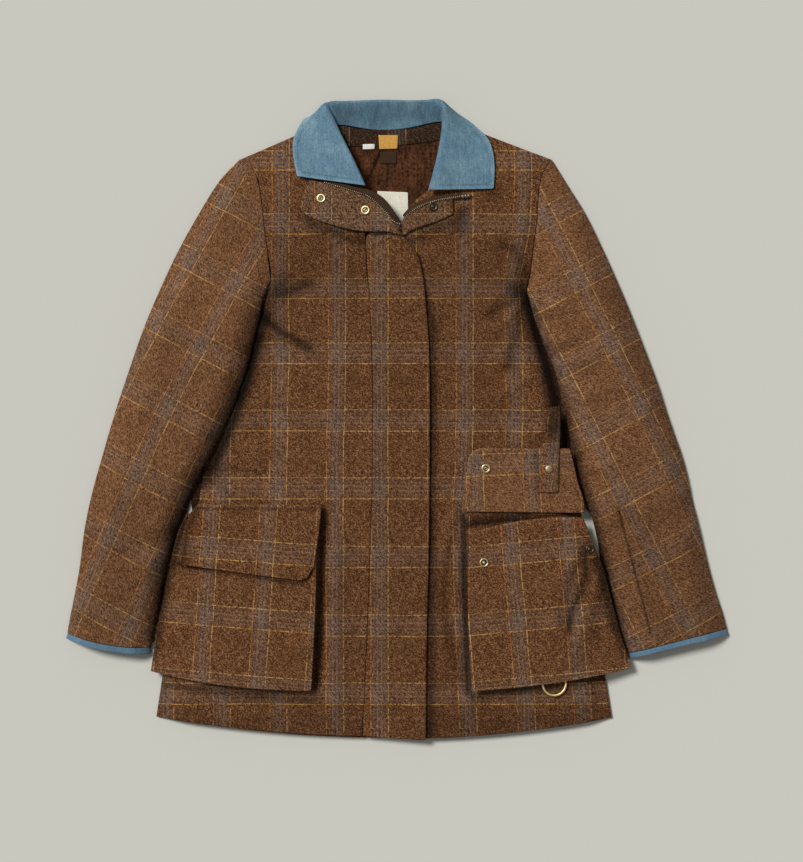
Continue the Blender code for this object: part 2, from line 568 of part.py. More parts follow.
def make_back():
    low = []
    for row in BACK:
        line = []
        for share in BACK_STATIONS:
            neck_from, neck_to = BACK_STATIONS[3], BACK_STATIONS[9]
            slope = min(share / neck_from, (1 - share) / (1 - neck_to), 1.0)
            inside = min(max((share - neck_from) / (neck_to - neck_from), 0.0), 1.0)
            crest = row.crest * (slope - BACK_NECK_DIP * math.sin(math.pi * inside))
            x = blend(row.right_x, row.left_x, share)
            y = blend(row.right_y, row.left_y, share) + crest + row.bow * 4 * share * (1 - share)
            line.append((x, y, collar_lift(x, y)))
        low.append(line)
    add_sheet("back", "tweed", low, TWEED_WALL)


def front_stations(row):
    rise = [blend(row.foot_x, row.crown_x, share) for share in FRONT_RISE_SHARES]
    flat = [blend(row.crown_x, row.centre_x, share) for share in FRONT_FLAT_SHARES]
    brim = (row.side_x + row.foot_x) / 2
    return [row.side_x, brim, row.foot_x, *rise, row.crown_x, *flat, row.centre_x]


def make_front(name, table):
    low = []
    for row in table:
        line = []
        for x in front_stations(row):
            share = (x - row.side_x) / (row.centre_x - row.side_x)
            y = blend(row.side_y, row.centre_y, share) + row.bow * 4 * share * (1 - share)
            rise = ease((x - row.foot_x) / (row.crown_x - row.foot_x))
            height = blend(row.edge, row.loft + fold_height(x, y), rise) if row.loft > EDGE else EDGE
            line.append((x, y, max(height, top_of(x, y, ["back"], FRONT_REACH) + SEAM)))
        low.append(line)
    add_sheet(name, "tweed", low, TWEED_WALL)
    return low


def split_edge(points, splits):
    """An edge's own points with more between them, so that a seam follows it."""
    edge = [points[0]]
    for start, end, count in zip(points, points[1:], splits):
        for step in range(1, count + 1):
            edge.append(tuple(blend(a, b, step / count) for a, b in zip(start, end)))
    return edge


def sleeve_plan(table, armhole, bulge, out):
    """Rows of plan points from the armhole to the cuff, and each column's share of the width."""
    ends = Vector(armhole[0][:2]), Vector(armhole[-1][:2])
    steps = [(Vector(b[:2]) - Vector(a[:2])).length for a, b in zip(armhole, armhole[1:])]
    shares = [sum(steps[:c]) / sum(steps) for c in range(len(armhole))]
    shape = [Vector(p[:2]) - ends[0].lerp(ends[1], s) for p, s in zip(armhole, shares)]
    plan = []
    for number, row in enumerate(table):
        outer, inner = Vector((row.outer_x, row.outer_y)), Vector((row.inner_x, row.inner_y))
        bow = Vector((0, bulge)) * max(0.0, 1 - (len(table) - 1 - number) / CUFF_BOW_ROWS)
        plan.append([
            outer.lerp(inner, s) + shape[c] * row.cap + bow * 4 * s * (1 - s) for c, s in enumerate(shares)
        ])
    for point in plan[0]:
        point.x += out * ARMHOLE_GAP
    return plan, shares


def over_body(points):
    """The first column of a row of points that lies over the back, if any does."""
    for column, point in enumerate(points):
        if top_of(point.x, point.y, ["back"]) > 0:
            return column
    return None


def make_sleeve(side, table, armhole, bulge, cuff_end, out):
    plan, shares = sleeve_plan(table, armhole, bulge, out)
    under, top = [], []
    for number, (row, points) in enumerate(zip(table, plan)):
        width = (points[-1] - points[0]).length
        meets = over_body(points) if number else None
        lap_to = 1.0 if meets is None else shares[meets] - SLEEVE_LAP_CLEAR / width
        lap_from = lap_to - SLEEVE_LAP_RAMP / width
        under_line, top_line = [], []
        for column, (point, share) in enumerate(zip(points, shares)):
            lies = row.lap * ease((share - lap_from) / (lap_to - lap_from))
            base = EDGE + row.lap * share
            rise = swell(share * width / SLEEVE_OUTER_RISE) * swell((1 - share) * width / SLEEVE_INNER_RISE)
            height = base + (row.loft - base + fold_height(*point) * (1 - row.cap)) * rise
            height = blend(height, armhole[column][2], row.cap ** 1.5)
            under_line.append((point.x, point.y, lies))
            top_line.append((point.x, point.y, max(height, lies + EDGE)))
        under.append(under_line)
        top.append(top_line)
    add_sheet(f"sleeve_{side}_under", "tweed", under, TWEED_WALL)
    add_sheet(f"sleeve_{side}_top", "tweed", top, TWEED_WALL)
    make_binding(f"cuff_binding_{side}", top[-1], shares, cuff_end)


def along_edge(points, shares, place):
    """The point of an edge at a share of its length."""
    for first, second, a, b in zip(points, points[1:], shares, shares[1:]):
        if a <= place <= b:
            return tuple(Vector(first).lerp(Vector(second), (place - a) / (b - a)))
    return points[-1]


def make_binding(name, edge, shares, cuff_end):
    """The ring of cloth round a cuff's edge, just past the sleeve's last row."""
    outer_rows, inner_rows = [], []
    shifts = [Vector(to) - Vector(at[:2]) for to, at in zip(cuff_end, (edge[0], edge[-1]))]
    lead = Vector((0, -LAID_GAP))
    inset = [min(max(share, BINDING_INSET), 1 - BINDING_INSET) for share in shares]
    for along in (0.0, 0.5, 1.0):
        line = []
        for (x, y, z), share in zip(edge, shares):
            move = shifts[0].lerp(shifts[1], share) * along + lead * (1 - along)
            line.append((x + move.x, y + move.y, z))
        inside = [along_edge(line, shares, place) for place in inset]
        outer = [(x, y, z + TWEED_WALL + BINDING_PROUD) for x, y, z in line]
        inner = [(x, y, z - BINDING_PROUD) for x, y, z in inside]
        outer_rows.append(outer + [(x, y, 0.0) for x, y, _ in reversed(line)])
        inner_rows.append(inner + [(x, y, TWEED_WALL + BINDING_PROUD) for x, y, _ in reversed(inside)])
    add_wall(name, "collar_cloth", inner_rows, outer_rows, ring=True)


def fly_middle(table, stations):
    """A fly's middle surface, with more rows where it turns over."""
    columns = [row[:6] for row in table]
    places = []
    for number, row in enumerate(table[:-1]):
        places += [number + step / row.steps for step in range(row.steps)]
    middle = []
    for place in [*places, len(table) - 1]:
        inner_x, inner_y, inner_z, free_x, free_y, free_z = smooth_row(columns, place)
        middle.append([
            (blend(inner_x, free_x, s), blend(inner_y, free_y, s), blend(inner_z, free_z, ease(s)))
            for s in stations
        ])
    return middle


def make_zip(name, table):
    middle = []
    for row in table:
        teeth, neck = Vector(row[:3]), Vector(row[3:])
        middle.append([tuple(teeth.lerp(neck, share)) for share in (0.0, 0.5, 1.0)])
    add_turned_sheet(name, "zip_tape", middle, ZIP_WALL)


def collar_section(seam, roll, edge, over):
    """Points up the stand, round the roll and down the fall."""
    lean = roll - (seam + edge) / 2
    lean.z = 0
    lean.normalize()
    aside = Vector((-lean.y, lean.x, 0))
    if aside.dot(edge - seam) < 0:
        aside.negate()
    turn = math.radians(over)
    spread = aside * math.cos(turn) + Vector((0, 0, math.sin(turn)))
    power = blend(COLLAR_UNDER_POWER, COLLAR_OVER_POWER, (over + 90) / 180)
    radius = COLLAR_ROLL_RADIUS + COLLAR_CORNER_RADIUS * math.cos(turn) ** 2
    stand_end, fall_start = roll - spread * radius, roll + spread * radius
    points = [seam.lerp(stand_end, share) for share in COLLAR_STAND_SHARES]
    for degrees in COLLAR_ROLL_DEGREES:
        turn = math.radians(degrees)
        points.append(roll + (lean * math.sin(turn) - spread * math.cos(turn)) * radius)
    for share in COLLAR_FALL_SHARES:
        point = fall_start.lerp(edge, share)
        point.z = blend(edge.z, fall_start.z, (1 - share) ** power)
        points.append(point)
    return [tuple(point) for point in points]


def make_collar():
    middle = []
    for step in range((len(COLLAR) - 1) * COLLAR_STEPS + 1):
        row = smooth_row(COLLAR, step / COLLAR_STEPS)
        middle.append(collar_section(Vector(row[0:3]), Vector(row[3:6]), Vector(row[6:9]), row[9]))
    add_turned_sheet("collar", "collar_cloth", middle, COLLAR_WALL)


def patch_plan(table, stations):
    return [
        [
            (
                blend(row.right_x, row.left_x, s),
                blend(row.right_y, row.left_y, s) + row.bow * 4 * s * (1 - s),
            )
            for s in stations
        ]
        for row in table
    ]


def make_patch(name, finish, table, stations, wall, on, reach=1.0):
    add_sheet(name, finish, drape(patch_plan(table, stations), on, LAID_GAP, passes=4, reach=reach), wall)


def make_bag(name, table):
    low = []
    for row in table:
        line = []
        for share in BAG_STATIONS:
            x = blend(row.outer_x, row.inner_x, share)
            y = blend(row.outer_y, row.inner_y, share) + row.bow * 4 * share * (1 - share)
            swollen = blend(row.outer_z, row.middle_z, swell(share / BAG_MIDDLE))
            line.append((x, y, blend(swollen, row.inner_z, ease(share / BAG_MIDDLE - 1))))
        low.append(line)
    add_sheet(name, "tweed", low, TWEED_WALL)
    return low


def bag_point(low, along, across):
    """A point of a pocket face's underside at shares of its length and width."""
    row = min(int(along * (len(low) - 1)), len(low) - 2)
    t = along * (len(low) - 1) - row
    column = max(c for c, s in enumerate(BAG_STATIONS[:-1]) if s <= across)
    u = (across - BAG_STATIONS[column]) / (BAG_STATIONS[column + 1] - BAG_STATIONS[column])
    near, far = (Vector(low[r][column]).lerp(Vector(low[r][column + 1]), u) for r in (row, row + 1))
    return near.lerp(far, t)


def make_gusset(name, low, front):
    """The U of cloth that joins a pocket face to its front, down one side, along the bottom and up."""
    width = (Vector(low[0][0]) - Vector(low[0][-1])).length
    length = (Vector(low[0][-1]) - Vector(low[-1][-1])).length
    inner_share, bottom_share = 1 - POCKET_GUSSET_INSET / width, 1 - POCKET_GUSSET_INSET / length
    steps = [step / GUSSET_STEPS for step in range(GUSSET_STEPS + 1)]
    route = [(blend(GUSSET_TOP_SHARE, bottom_share, s), inner_share) for s in steps]
    route += [(bottom_share, blend(inner_share, GUSSET_OUTER_SHARE, s)) for s in steps[1:]]
    route += [(blend(bottom_share, GUSSET_TOP_SHARE, s), GUSSET_OUTER_SHARE) for s in steps[1:]]
    middle = [bag_point(low, along, across) for along, across in route]
    rows = []
    for number, point in enumerate(middle):
        ahead = middle[min(number + 1, len(middle) - 1)] - middle[max(number - 1, 0)]
        aside = Vector((-ahead.y, ahead.x, 0)).normalized() * (GUSSET_WALL / 2)
        foot = max(top_of(*(point + aside * s).xy, [front], GUSSET_REACH) for s in (-1, 1)) + LAID_GAP
        head = point.z - 2 * LAID_GAP
        corners = ((-1, foot), (-1, head), (1, foot), (1, head))
        rows.append([tuple(Vector((point.x, point.y, z)) + aside * s) for s, z in corners])
    add_wall(name, "tweed", [row[:2] for row in rows], [row[2:] for row in rows])


def make_flap(name, table, stations, wall, on, reach=8.0):
    plan = [
        [(blend(row.outer_x, row.inner_x, s), blend(row.outer_y, row.inner_y, s)) for s in stations]
        for row in table
    ]
    low = drape(plan, on, LAID_GAP, [row.lift for row in table], reach=reach)
    add_sheet(name, "tweed", low, wall)


def make_snap(snap):
    """A turned snap set square to the cloth under it."""
    start = placed(snap.x, snap.y, ABOVE)
    hit, normal = laid[snap.on].ray_cast(start, Vector((0, 0, -1)))[:2]
    turn = normal.to_track_quat("Z", "Y").to_matrix()
    base = hit + normal * LAID_GAP * MM
    shape = bmesh.new()
    rings = []
    for share, height in SNAP_PROFILES[snap.kind]:
        radius = share * SNAP_RADIUS
        count = SNAP_SEGMENTS if share else 1
        ring = []
        for step in range(count):
            angle = 2 * math.pi * step / SNAP_SEGMENTS
            offset = Vector((radius * math.cos(angle), radius * math.sin(angle), height)) * MM
            ring.append(shape.verts.new(base + turn @ offset))
        rings.append(ring)
    for upper, lower in zip(rings, rings[1:]):
        for step in range(SNAP_SEGMENTS):
            following = (step + 1) % SNAP_SEGMENTS
            corners = [upper[step % len(upper)], lower[step], lower[following]]
            corners.append(upper[following % len(upper)])
            shape.faces.new(list(dict.fromkeys(corners)))
    shape.faces.new(rings[-1])
    add_object(snap.name, "antique_brass", shape)


def ring_path():
    """The middle of the D-ring's wire: a straight bar and an arch."""
    half = (RING_WIDTH - RING_WIRE) / 2
    depth = RING_DEPTH - RING_WIRE
    bar, arch = [], []
    for step in range(RING_BAR_STEPS):
        bar.append(Vector((RING_X + half * (2 * step / RING_BAR_STEPS - 1), RING_BAR_Y, RING_Z)))
    for step in range(RING_ARC_STEPS):
        turn = math.pi * step / RING_ARC_STEPS
        drop = depth * math.sin(turn) ** RING_ROUNDNESS
        arch.append(Vector((RING_X + half * math.cos(turn), RING_BAR_Y - drop, RING_Z)))
    return bar + arch


def make_ring():
    path = ring_path()
    count = len(path)
    shape = bmesh.new()
    rings = []
    for number, point in enumerate(path):
        ahead = (path[(number + 1) % count] - path[number - 1]).normalized()
        aside = ahead.cross(Vector((0, 0, 1)))
        ring = []
        for side in range(RING_SIDES):
            turn = 2 * math.pi * side / RING_SIDES
            place = point + (aside * math.cos(turn) + Vector((0, 0, 1)) * math.sin(turn)) * (RING_WIRE / 2)
            ring.append(shape.verts.new(placed(*place)))
        rings.append(ring)
    for number, ring in enumerate(rings):
        following = rings[(number + 1) % count]
        for side in range(RING_SIDES):
            other = (side + 1) % RING_SIDES
            shape.faces.new((ring[side], ring[other], following[other], following[side]))
    add_object("d_ring", "ring_brass", shape)


def make_ring_loop():
    """Webbing from the pocket's bottom, round the ring's bar and back."""
    path = [(RING_BAR_Y + LOOP_REACH, RING_Z + LOOP_RADIUS)]
    for degrees in range(90, 271, 30):
        turn = math.radians(degrees)
        path.append((RING_BAR_Y + LOOP_RADIUS * math.cos(turn), RING_Z + LOOP_RADIUS * math.sin(turn)))
    path.append((RING_BAR_Y + LOOP_REACH, RING_Z - LOOP_RADIUS))
    middle = [
        [(RING_X + side * LOOP_WIDTH / 2, y, z) for y, z in path]
        for side in (-1, 0, 1)
    ]
    add_turned_sheet("d_ring_loop", "zip_tape", middle, LOOP_WALL)


def make_pocket(side, bag, flap, front, flap_on):
    low = make_bag(f"pocket_{side}_bag", bag)
    make_gusset(f"pocket_{side}_gusset", low, front)
    make_flap(f"pocket_{side}_flap", flap, FLAP_STATIONS, DOUBLED_WALL, flap_on)


for leftover in list(bpy.data.objects):
    bpy.data.objects.remove(leftover, do_unlink=True)
coat = bpy.data.objects.new("coat", None)
bpy.context.scene.collection.objects.link(coat)

make_back()
right_low = make_front("front_right", FRONT_RIGHT)
left_low = make_front("front_left", FRONT_LEFT)

right_armhole = [row[0] for row in reversed(right_low[ARMPIT_RIGHT:])]
left_armhole = [row[0] for row in reversed(left_low[ARMPIT_LEFT:])]
right_armhole = split_edge(right_armhole, ARMHOLE_RIGHT_SPLITS)
left_armhole = split_edge(left_armhole, ARMHOLE_LEFT_SPLITS)
make_sleeve("right", SLEEVE_RIGHT, right_armhole, CUFF_RIGHT_BOW, CUFF_RIGHT_END, -1)
make_sleeve("left", SLEEVE_LEFT, left_armhole, CUFF_LEFT_BOW, CUFF_LEFT_END, 1)

add_turned_sheet("fly_right", "tweed", fly_middle(FLY_RIGHT, FLY_STATIONS), TWEED_WALL)
add_turned_sheet("fly_left", "tweed", fly_middle(FLY_LEFT, FLY_LEFT_STATIONS), TWEED_WALL)
make_zip("zip_right", ZIP_RIGHT)
make_zip("zip_left", ZIP_LEFT)
make_collar()

make_patch("lining", "lining_cloth", LINING_ROWS, PATCH_STATIONS, LINING_WALL, ["back"], LINING_REACH)
make_patch("neck_facing", "facing_cloth", FACING_ROWS, PATCH_STATIONS, LABEL_WALL, ["lining"])
make_patch("size_patch", "patch_dark", SIZE_PATCH_ROWS, (0, 1), LABEL_WALL, ["lining"])
make_patch("hanger_tab", "tab_yellow", TAB_ROWS, (0, 0.5, 1), LABEL_WALL, ["neck_facing", "lining"])
make_patch("care_tag", "tag_white", TAG_ROWS, (0, 1), LABEL_WALL, ["neck_facing", "lining"])
make_patch("inner_label", "label_cream", LABEL_ROWS, (0, 0.5, 1), LABEL_WALL, ["lining"])

right_pile = ["front_right", "pocket_right_bag"]
make_pocket("right", POCKET_RIGHT_BAG, POCKET_RIGHT_FLAP, "front_right", right_pile)
make_pocket("left", POCKET_LEFT_BAG, POCKET_LEFT_FLAP, "front_left", ["front_left"])
make_flap("pocket_strap", STRAP, STRAP_STATIONS, STRAP_WALL, ["front_left", "pocket_left_flap"])
make_ring()
make_ring_loop()
for snap in SNAPS:
    make_snap(snap)
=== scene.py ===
import math

import bmesh
import bpy
import numpy as np
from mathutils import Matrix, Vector, geometry, noise
from mathutils.bvhtree import BVHTree


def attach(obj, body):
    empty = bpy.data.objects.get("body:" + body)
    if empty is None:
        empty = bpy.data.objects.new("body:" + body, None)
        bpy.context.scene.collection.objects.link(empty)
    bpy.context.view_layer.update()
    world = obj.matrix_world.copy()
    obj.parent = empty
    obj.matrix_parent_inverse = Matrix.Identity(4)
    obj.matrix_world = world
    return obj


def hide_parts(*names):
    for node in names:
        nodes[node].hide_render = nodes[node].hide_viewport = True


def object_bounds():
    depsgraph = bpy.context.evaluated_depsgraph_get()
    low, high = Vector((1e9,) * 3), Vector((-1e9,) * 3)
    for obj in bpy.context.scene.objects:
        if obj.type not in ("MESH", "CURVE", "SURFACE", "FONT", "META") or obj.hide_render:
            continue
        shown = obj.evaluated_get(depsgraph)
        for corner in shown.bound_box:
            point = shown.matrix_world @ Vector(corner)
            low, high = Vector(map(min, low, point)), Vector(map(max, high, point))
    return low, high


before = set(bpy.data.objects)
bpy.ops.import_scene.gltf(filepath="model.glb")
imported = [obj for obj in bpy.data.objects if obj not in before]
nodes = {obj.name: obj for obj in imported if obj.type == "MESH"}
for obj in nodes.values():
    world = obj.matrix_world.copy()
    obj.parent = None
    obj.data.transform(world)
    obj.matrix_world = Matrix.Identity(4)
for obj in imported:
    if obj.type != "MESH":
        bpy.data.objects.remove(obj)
cadBox = [list(corner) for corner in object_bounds()]
scene = bpy.context.scene
mm = 0.001
print("frame loaded:", len(nodes), "nodes")

# the coat lies on a pale table, seen straight down, lamp from the top left
studio = {
    "cameraAt": (0.0054, -0.01504, 2.60), "lens": 84.8, "sensor": 36.0, "farClip": 100.0,
    "tableHalf": 25.0, "tableCells": 8, "tableGap": 0.0004,
    "tableColour": (0.60, 0.592, 0.535, 1.0), "tableRough": 0.9, "tableShine": 0.1,
    "roomColour": (1.0, 0.99, 0.97, 1.0), "roomLight": 0.27,
    "lampFrom": (-1.0, 0.85, 1.55), "lampSpread": 18.0, "lampPower": 2.88,
}


def newObject(name, data):
    made = bpy.data.objects.new(name, data)
    scene.collection.objects.link(made)
    return made


def meshFrom(name, bm):
    mesh = bpy.data.meshes.new(name)
    bm.to_mesh(mesh)
    bm.free()
    return mesh


# node helpers
def feed(node, sockets):  # each socket gets a link or a value
    for key, value in sockets.items():
        if isinstance(value, bpy.types.NodeSocket):
            node.id_data.links.new(value, node.inputs[key])
        else:
            node.inputs[key].default_value = value


def put(kind, sockets, tree=None, **settings):  # a new node, in the tree of what is linked to it
    tree = tree or next(value.id_data for value in sockets.values() if isinstance(value, bpy.types.NodeSocket))
    made = tree.nodes.new(kind)
    for name, value in settings.items():
        setattr(made, name, value)
    feed(made, sockets)
    return made


def startMaterial(name):
    made = bpy.data.materials.new(name)
    made.use_nodes = True
    return made, made.node_tree, made.node_tree.nodes["Principled BSDF"]


def calc(operation, *values):
    return put("ShaderNodeMath", dict(enumerate(values)), operation=operation).outputs[0]


def times(a, b):
    return calc("MULTIPLY", a, b)


def stretch(value, low, high, toLow, toHigh, ease="LINEAR"):
    sockets = {"Value": value, "From Min": low, "From Max": high, "To Min": toLow, "To Max": toHigh}
    return put("ShaderNodeMapRange", sockets, interpolation_type=ease).outputs[0]


def fadeOut(value, start, end, full=1.0):  # full up to start, nothing past end
    return stretch(value, start, end, full, 0.0, "SMOOTHSTEP")


def blendColour(amount, first, second):
    return put("ShaderNodeMix", {0: amount, 6: first, 7: second}, data_type="RGBA").outputs[2]


def grain(vector, scale, detail=2.0, rough=0.6):
    scale = scale if isinstance(scale, tuple) else (scale, scale, scale)
    sized = put("ShaderNodeMapping", {"Vector": vector, "Scale": scale}).outputs[0]
    sockets = {"Vector": sized, "Scale": 1.0, "Detail": detail, "Roughness": rough}
    return put("ShaderNodeTexNoise", sockets).outputs[0]


def bumped(height, depth, strength):
    return put("ShaderNodeBump", {"Height": height, "Distance": depth, "Strength": strength}).outputs[0]


def setStudio():
    camera = newObject("camera", bpy.data.cameras.new("camera"))
    camera.location = studio["cameraAt"]
    camera.data.sensor_fit = "VERTICAL"
    camera.data.sensor_height = studio["sensor"]
    camera.data.lens = studio["lens"]
    camera.data.clip_end = studio["farClip"]
    scene.camera = camera
    lamp = newObject("softLamp", bpy.data.lights.new("softLamp", "SUN"))
    lamp.data.angle = math.radians(studio["lampSpread"])
    lamp.data.energy = studio["lampPower"]
    lamp.location = studio["lampFrom"]
    lamp.rotation_euler = (-lamp.location).to_track_quat("-Z", "Y").to_euler()
    scene.world = bpy.data.worlds.new("room")
    scene.world.use_nodes = True
    feed(scene.world.node_tree.nodes["Background"], {"Color": studio["roomColour"], "Strength": studio["roomLight"]})
    scene.view_settings.view_transform = "Standard"
    bm = bmesh.new()
    cells = studio["tableCells"]
    bmesh.ops.create_grid(bm, x_segments=cells, y_segments=cells, size=studio["tableHalf"])
    bmesh.ops.translate(bm, verts=bm.verts, vec=(0, 0, cadBox[0][2] - studio["tableGap"]))
    table = newObject("table", meshFrom("table", bm))
    paint, _, shader = startMaterial("tablePaint")
    feed(shader, {"Base Color": studio["tableColour"], "Roughness": studio["tableRough"],
                  "Specular IOR Level": studio["tableShine"]})
    table.data.materials.append(paint)


setStudio()
print("studio set")


def openGroup(name, values):  # cloth coordinates and values in, colour, height and roughness out
    tree = bpy.data.node_groups.new(name, "ShaderNodeTree")
    tree.interface.new_socket("Cloth", in_out="INPUT", socket_type="NodeSocketVector")
    for label, value in values.items():
        kind = "NodeSocketColor" if isinstance(value, tuple) else "NodeSocketFloat"
        tree.interface.new_socket(label, in_out="INPUT", socket_type=kind).default_value = value
    for label, kind in (("Color", "Color"), ("Height", "Float"), ("Rough", "Float")):
        tree.interface.new_socket(label, in_out="OUTPUT", socket_type="NodeSocket" + kind)
    return tree.nodes.new("NodeGroupInput").outputs


def closeGroup(colour, tone, height, rough):  # the colour is dimmed by the tone, which holds the cloth's own mottling and the painted shade and wear of the strokes
    toned = put("ShaderNodeVectorMath", {0: colour, "Scale": tone}, operation="SCALE").outputs[0]
    put("NodeGroupOutput", {"Color": toned, "Height": height, "Rough": rough})
    return toned.id_data


def linear(red, green, blue):  # screen colour, 0 to 255, to a shader colour
    def one(value):
        value /= 255.0
        return value / 12.92 if value <= 0.04045 else ((value + 0.055) / 1.055) ** 2.4

    return one(red), one(green), one(blue), 1.0


# check repeat in millimetres, set out from the cloth: band middles at 0, framing lines either side
check = {
    "acrossRepeat": 72.1, "alongRepeat": 85.6, "acrossLine": 10.9, "alongLine": 13.3,
    "acrossPins": (2.6, 6.6), "alongPins": (3.2, 7.8), "middleFade": (3.0, 6.0),
    "ground": (90, 54, 27), "bandGrey": linear(94, 80, 72), "bandAlong": linear(96, 71, 58),
    "crossing": linear(84, 78, 76), "pin": linear(136, 114, 94), "middle": linear(80, 77, 84),
    "rust": linear(172, 102, 46), "straw": linear(178, 144, 92), "ochre": linear(182, 132, 56),
    "paleYarn": linear(160, 121, 88), "darkYarn": linear(38, 21, 12),
    "acrossShare": 0.16, "alongShare": 0.30, "crossShare": 0.30, "middleShare": 0.16,
    "swayScale": 16.0, "sway": 3.0, "fleckScale": 640.0, "cloudScale": 34.0, "rustScale": 300.0,
    "yarnWide": 0.8, "yarnLong": 1.6, "dotLong": 2.3, "hueLong": 9.2, "twillPitch": 1.9, "twillHeight": 0.10,
    "edgeIn": 1.5, "edgeOut": 0.5, "nearPin": (1.3, 0.36), "farPin": (1.1, 0.16), "lineStrength": 0.9,
    # from low, from high, to low, to high
    "paleFade": (0.52, 0.95, 0.0, 0.8), "darkFade": (0.50, 0.05, 0.0, 1.0), "dotFade": (0.2, 0.8, 0.08, 1.0),
    "hueFade": (0.3, 0.7, 0.0, 0.6), "rustFade": (0.64, 0.74, 0.0, 0.25), "cloudFade": (0.3, 0.7, 0.88, 1.12),
    "roughFade": (0.3, 0.7, 0.98, 0.86),
}


def makeCheckGroup():
    given = openGroup("tweedCheck", {"Ground": linear(*check["ground"]), "Show": 1.0, "Fleck": 1.0, "Nap": 1.0})
    cloth, show = given["Cloth"], given["Show"]

    def wrapped(value, repeat):
        return calc("WRAP", value, repeat / 2, -repeat / 2)

    def band(off, line):  # solid inside the framing lines
        return times(fadeOut(off, line - check["edgeIn"], line + check["edgeOut"]), show)

    def stripe(value, place, width, strength):  # a soft stripe at one distance
        away = calc("ABSOLUTE", calc("SUBTRACT", value, place))
        return fadeOut(away, width * 0.4, width, strength)

    def yarnEnds(first, second, wide, long, layer):  # one random tone for each yarn end
        joined = put("ShaderNodeCombineXYZ", {0: first, 1: second, 2: layer}).outputs[0]
        ends = put("ShaderNodeVectorMath", {0: joined, 1: (wide, long, 1.0)}, operation="SNAP").outputs[0]
        return put("ShaderNodeTexWhiteNoise", {"Vector": ends}).outputs["Value"]

    split = put("ShaderNodeSeparateXYZ", {0: cloth}).outputs
    wander = calc("SUBTRACT", grain(cloth, check["swayScale"], 1.0), 0.5)
    sway = times(wander, check["sway"])
    u, v = [calc("ADD", times(split[axis], 1000.0), sway) for axis in (0, 1)]
    wrapU, wrapV = wrapped(u, check["acrossRepeat"]), wrapped(v, check["alongRepeat"])
    offU, offV = calc("ABSOLUTE", wrapU), calc("ABSOLUTE", wrapV)
    bandU, bandV = band(offU, check["acrossLine"]), band(offV, check["alongLine"])
    fleck = grain(cloth, check["fleckScale"], 1.5, 0.7)
    cloud = grain(cloth, check["cloudScale"], 3.0)

    # bands, their crossings and the fine pins in them
    colour = blendColour(times(bandU, check["acrossShare"]), given["Ground"], check["bandGrey"])
    colour = blendColour(times(bandV, check["alongShare"]), colour, check["bandAlong"])
    both = times(times(bandU, bandV), check["crossShare"])
    colour = blendColour(both, colour, check["crossing"])
    middle = times(fadeOut(offU, *check["middleFade"], check["middleShare"]), show)
    colour = blendColour(middle, colour, check["middle"])
    for off, inBand, (near, far) in ((offU, bandU, check["acrossPins"]), (offV, bandV, check["alongPins"])):
        pins = calc("MAXIMUM", stripe(off, near, *check["nearPin"]), stripe(off, far, *check["farPin"]))
        colour = blendColour(times(pins, inBand), colour, check["pin"])

    # twill yarns, pale and dark
    wide, long = check["yarnWide"], check["yarnLong"]
    warp = yarnEnds(calc("MULTIPLY_ADD", v, 0.5, u), v, wide, long, 0.5)
    weft = yarnEnds(u, calc("MULTIPLY_ADD", u, 0.5, v), long, wide, 3.5)
    speck = calc("MULTIPLY_ADD", fleck, 0.16, -0.08)
    mixed = calc("MULTIPLY_ADD", calc("ADD", warp, weft), 0.5, speck)
    pale = times(stretch(mixed, *check["paleFade"]), given["Fleck"])
    dark = times(stretch(mixed, *check["darkFade"]), given["Fleck"])
    colour = blendColour(pale, colour, check["paleYarn"])
    colour = blendColour(dark, colour, check["darkYarn"])

    # framing lines, dotted by the weave
    for value, along, place, width, hue, layer in (
            (wrapU, v, -check["acrossLine"], 0.75, "rust", 5.5), (wrapU, v, check["acrossLine"], 0.75, "straw", 7.5),
            (wrapV, u, check["alongLine"], 0.75, "straw", 9.5), (wrapV, u, -check["alongLine"], 0.85, "ochre", 11.5)):
        dot = yarnEnds(along, along, check["dotLong"], check["dotLong"], layer)
        turn = yarnEnds(along, along, check["hueLong"], check["hueLong"], layer)
        line = stripe(value, place, width, check["lineStrength"])
        near = times(line, stretch(dot, *check["dotFade"]))
        shade = blendColour(stretch(turn, *check["hueFade"]), check[hue], check["straw"])
        colour = blendColour(times(near, show), colour, shade)
    rustEnds = stretch(grain(cloth, check["rustScale"], 1.0, 0.5), *check["rustFade"])
    colour = blendColour(times(rustEnds, show), colour, check["rust"])
    tone = times(stretch(cloud, *check["cloudFade"]), given["Nap"])
    twill = calc("SINE", times(calc("ADD", u, v), 2 * math.pi / check["twillPitch"]))
    height = calc("ADD", times(twill, check["twillHeight"]), fleck)
    return closeGroup(colour, tone, height, stretch(fleck, *check["roughFade"]))


# plain napped or woven cloth: soft mottling, pile and a streak along the thread
napCloth = {
    "streak": (0.9, 0.16, 0.4), "cloudScale": 42.0, "pileShare": 0.6, "streakShare": 0.4,
    "wornFade": (0.42, 0.72, 0.0, 1.0), "toneFade": (0.3, 0.7, 0.74, 1.26), "roughFade": (0.3, 0.7, 0.97, 0.84),
}


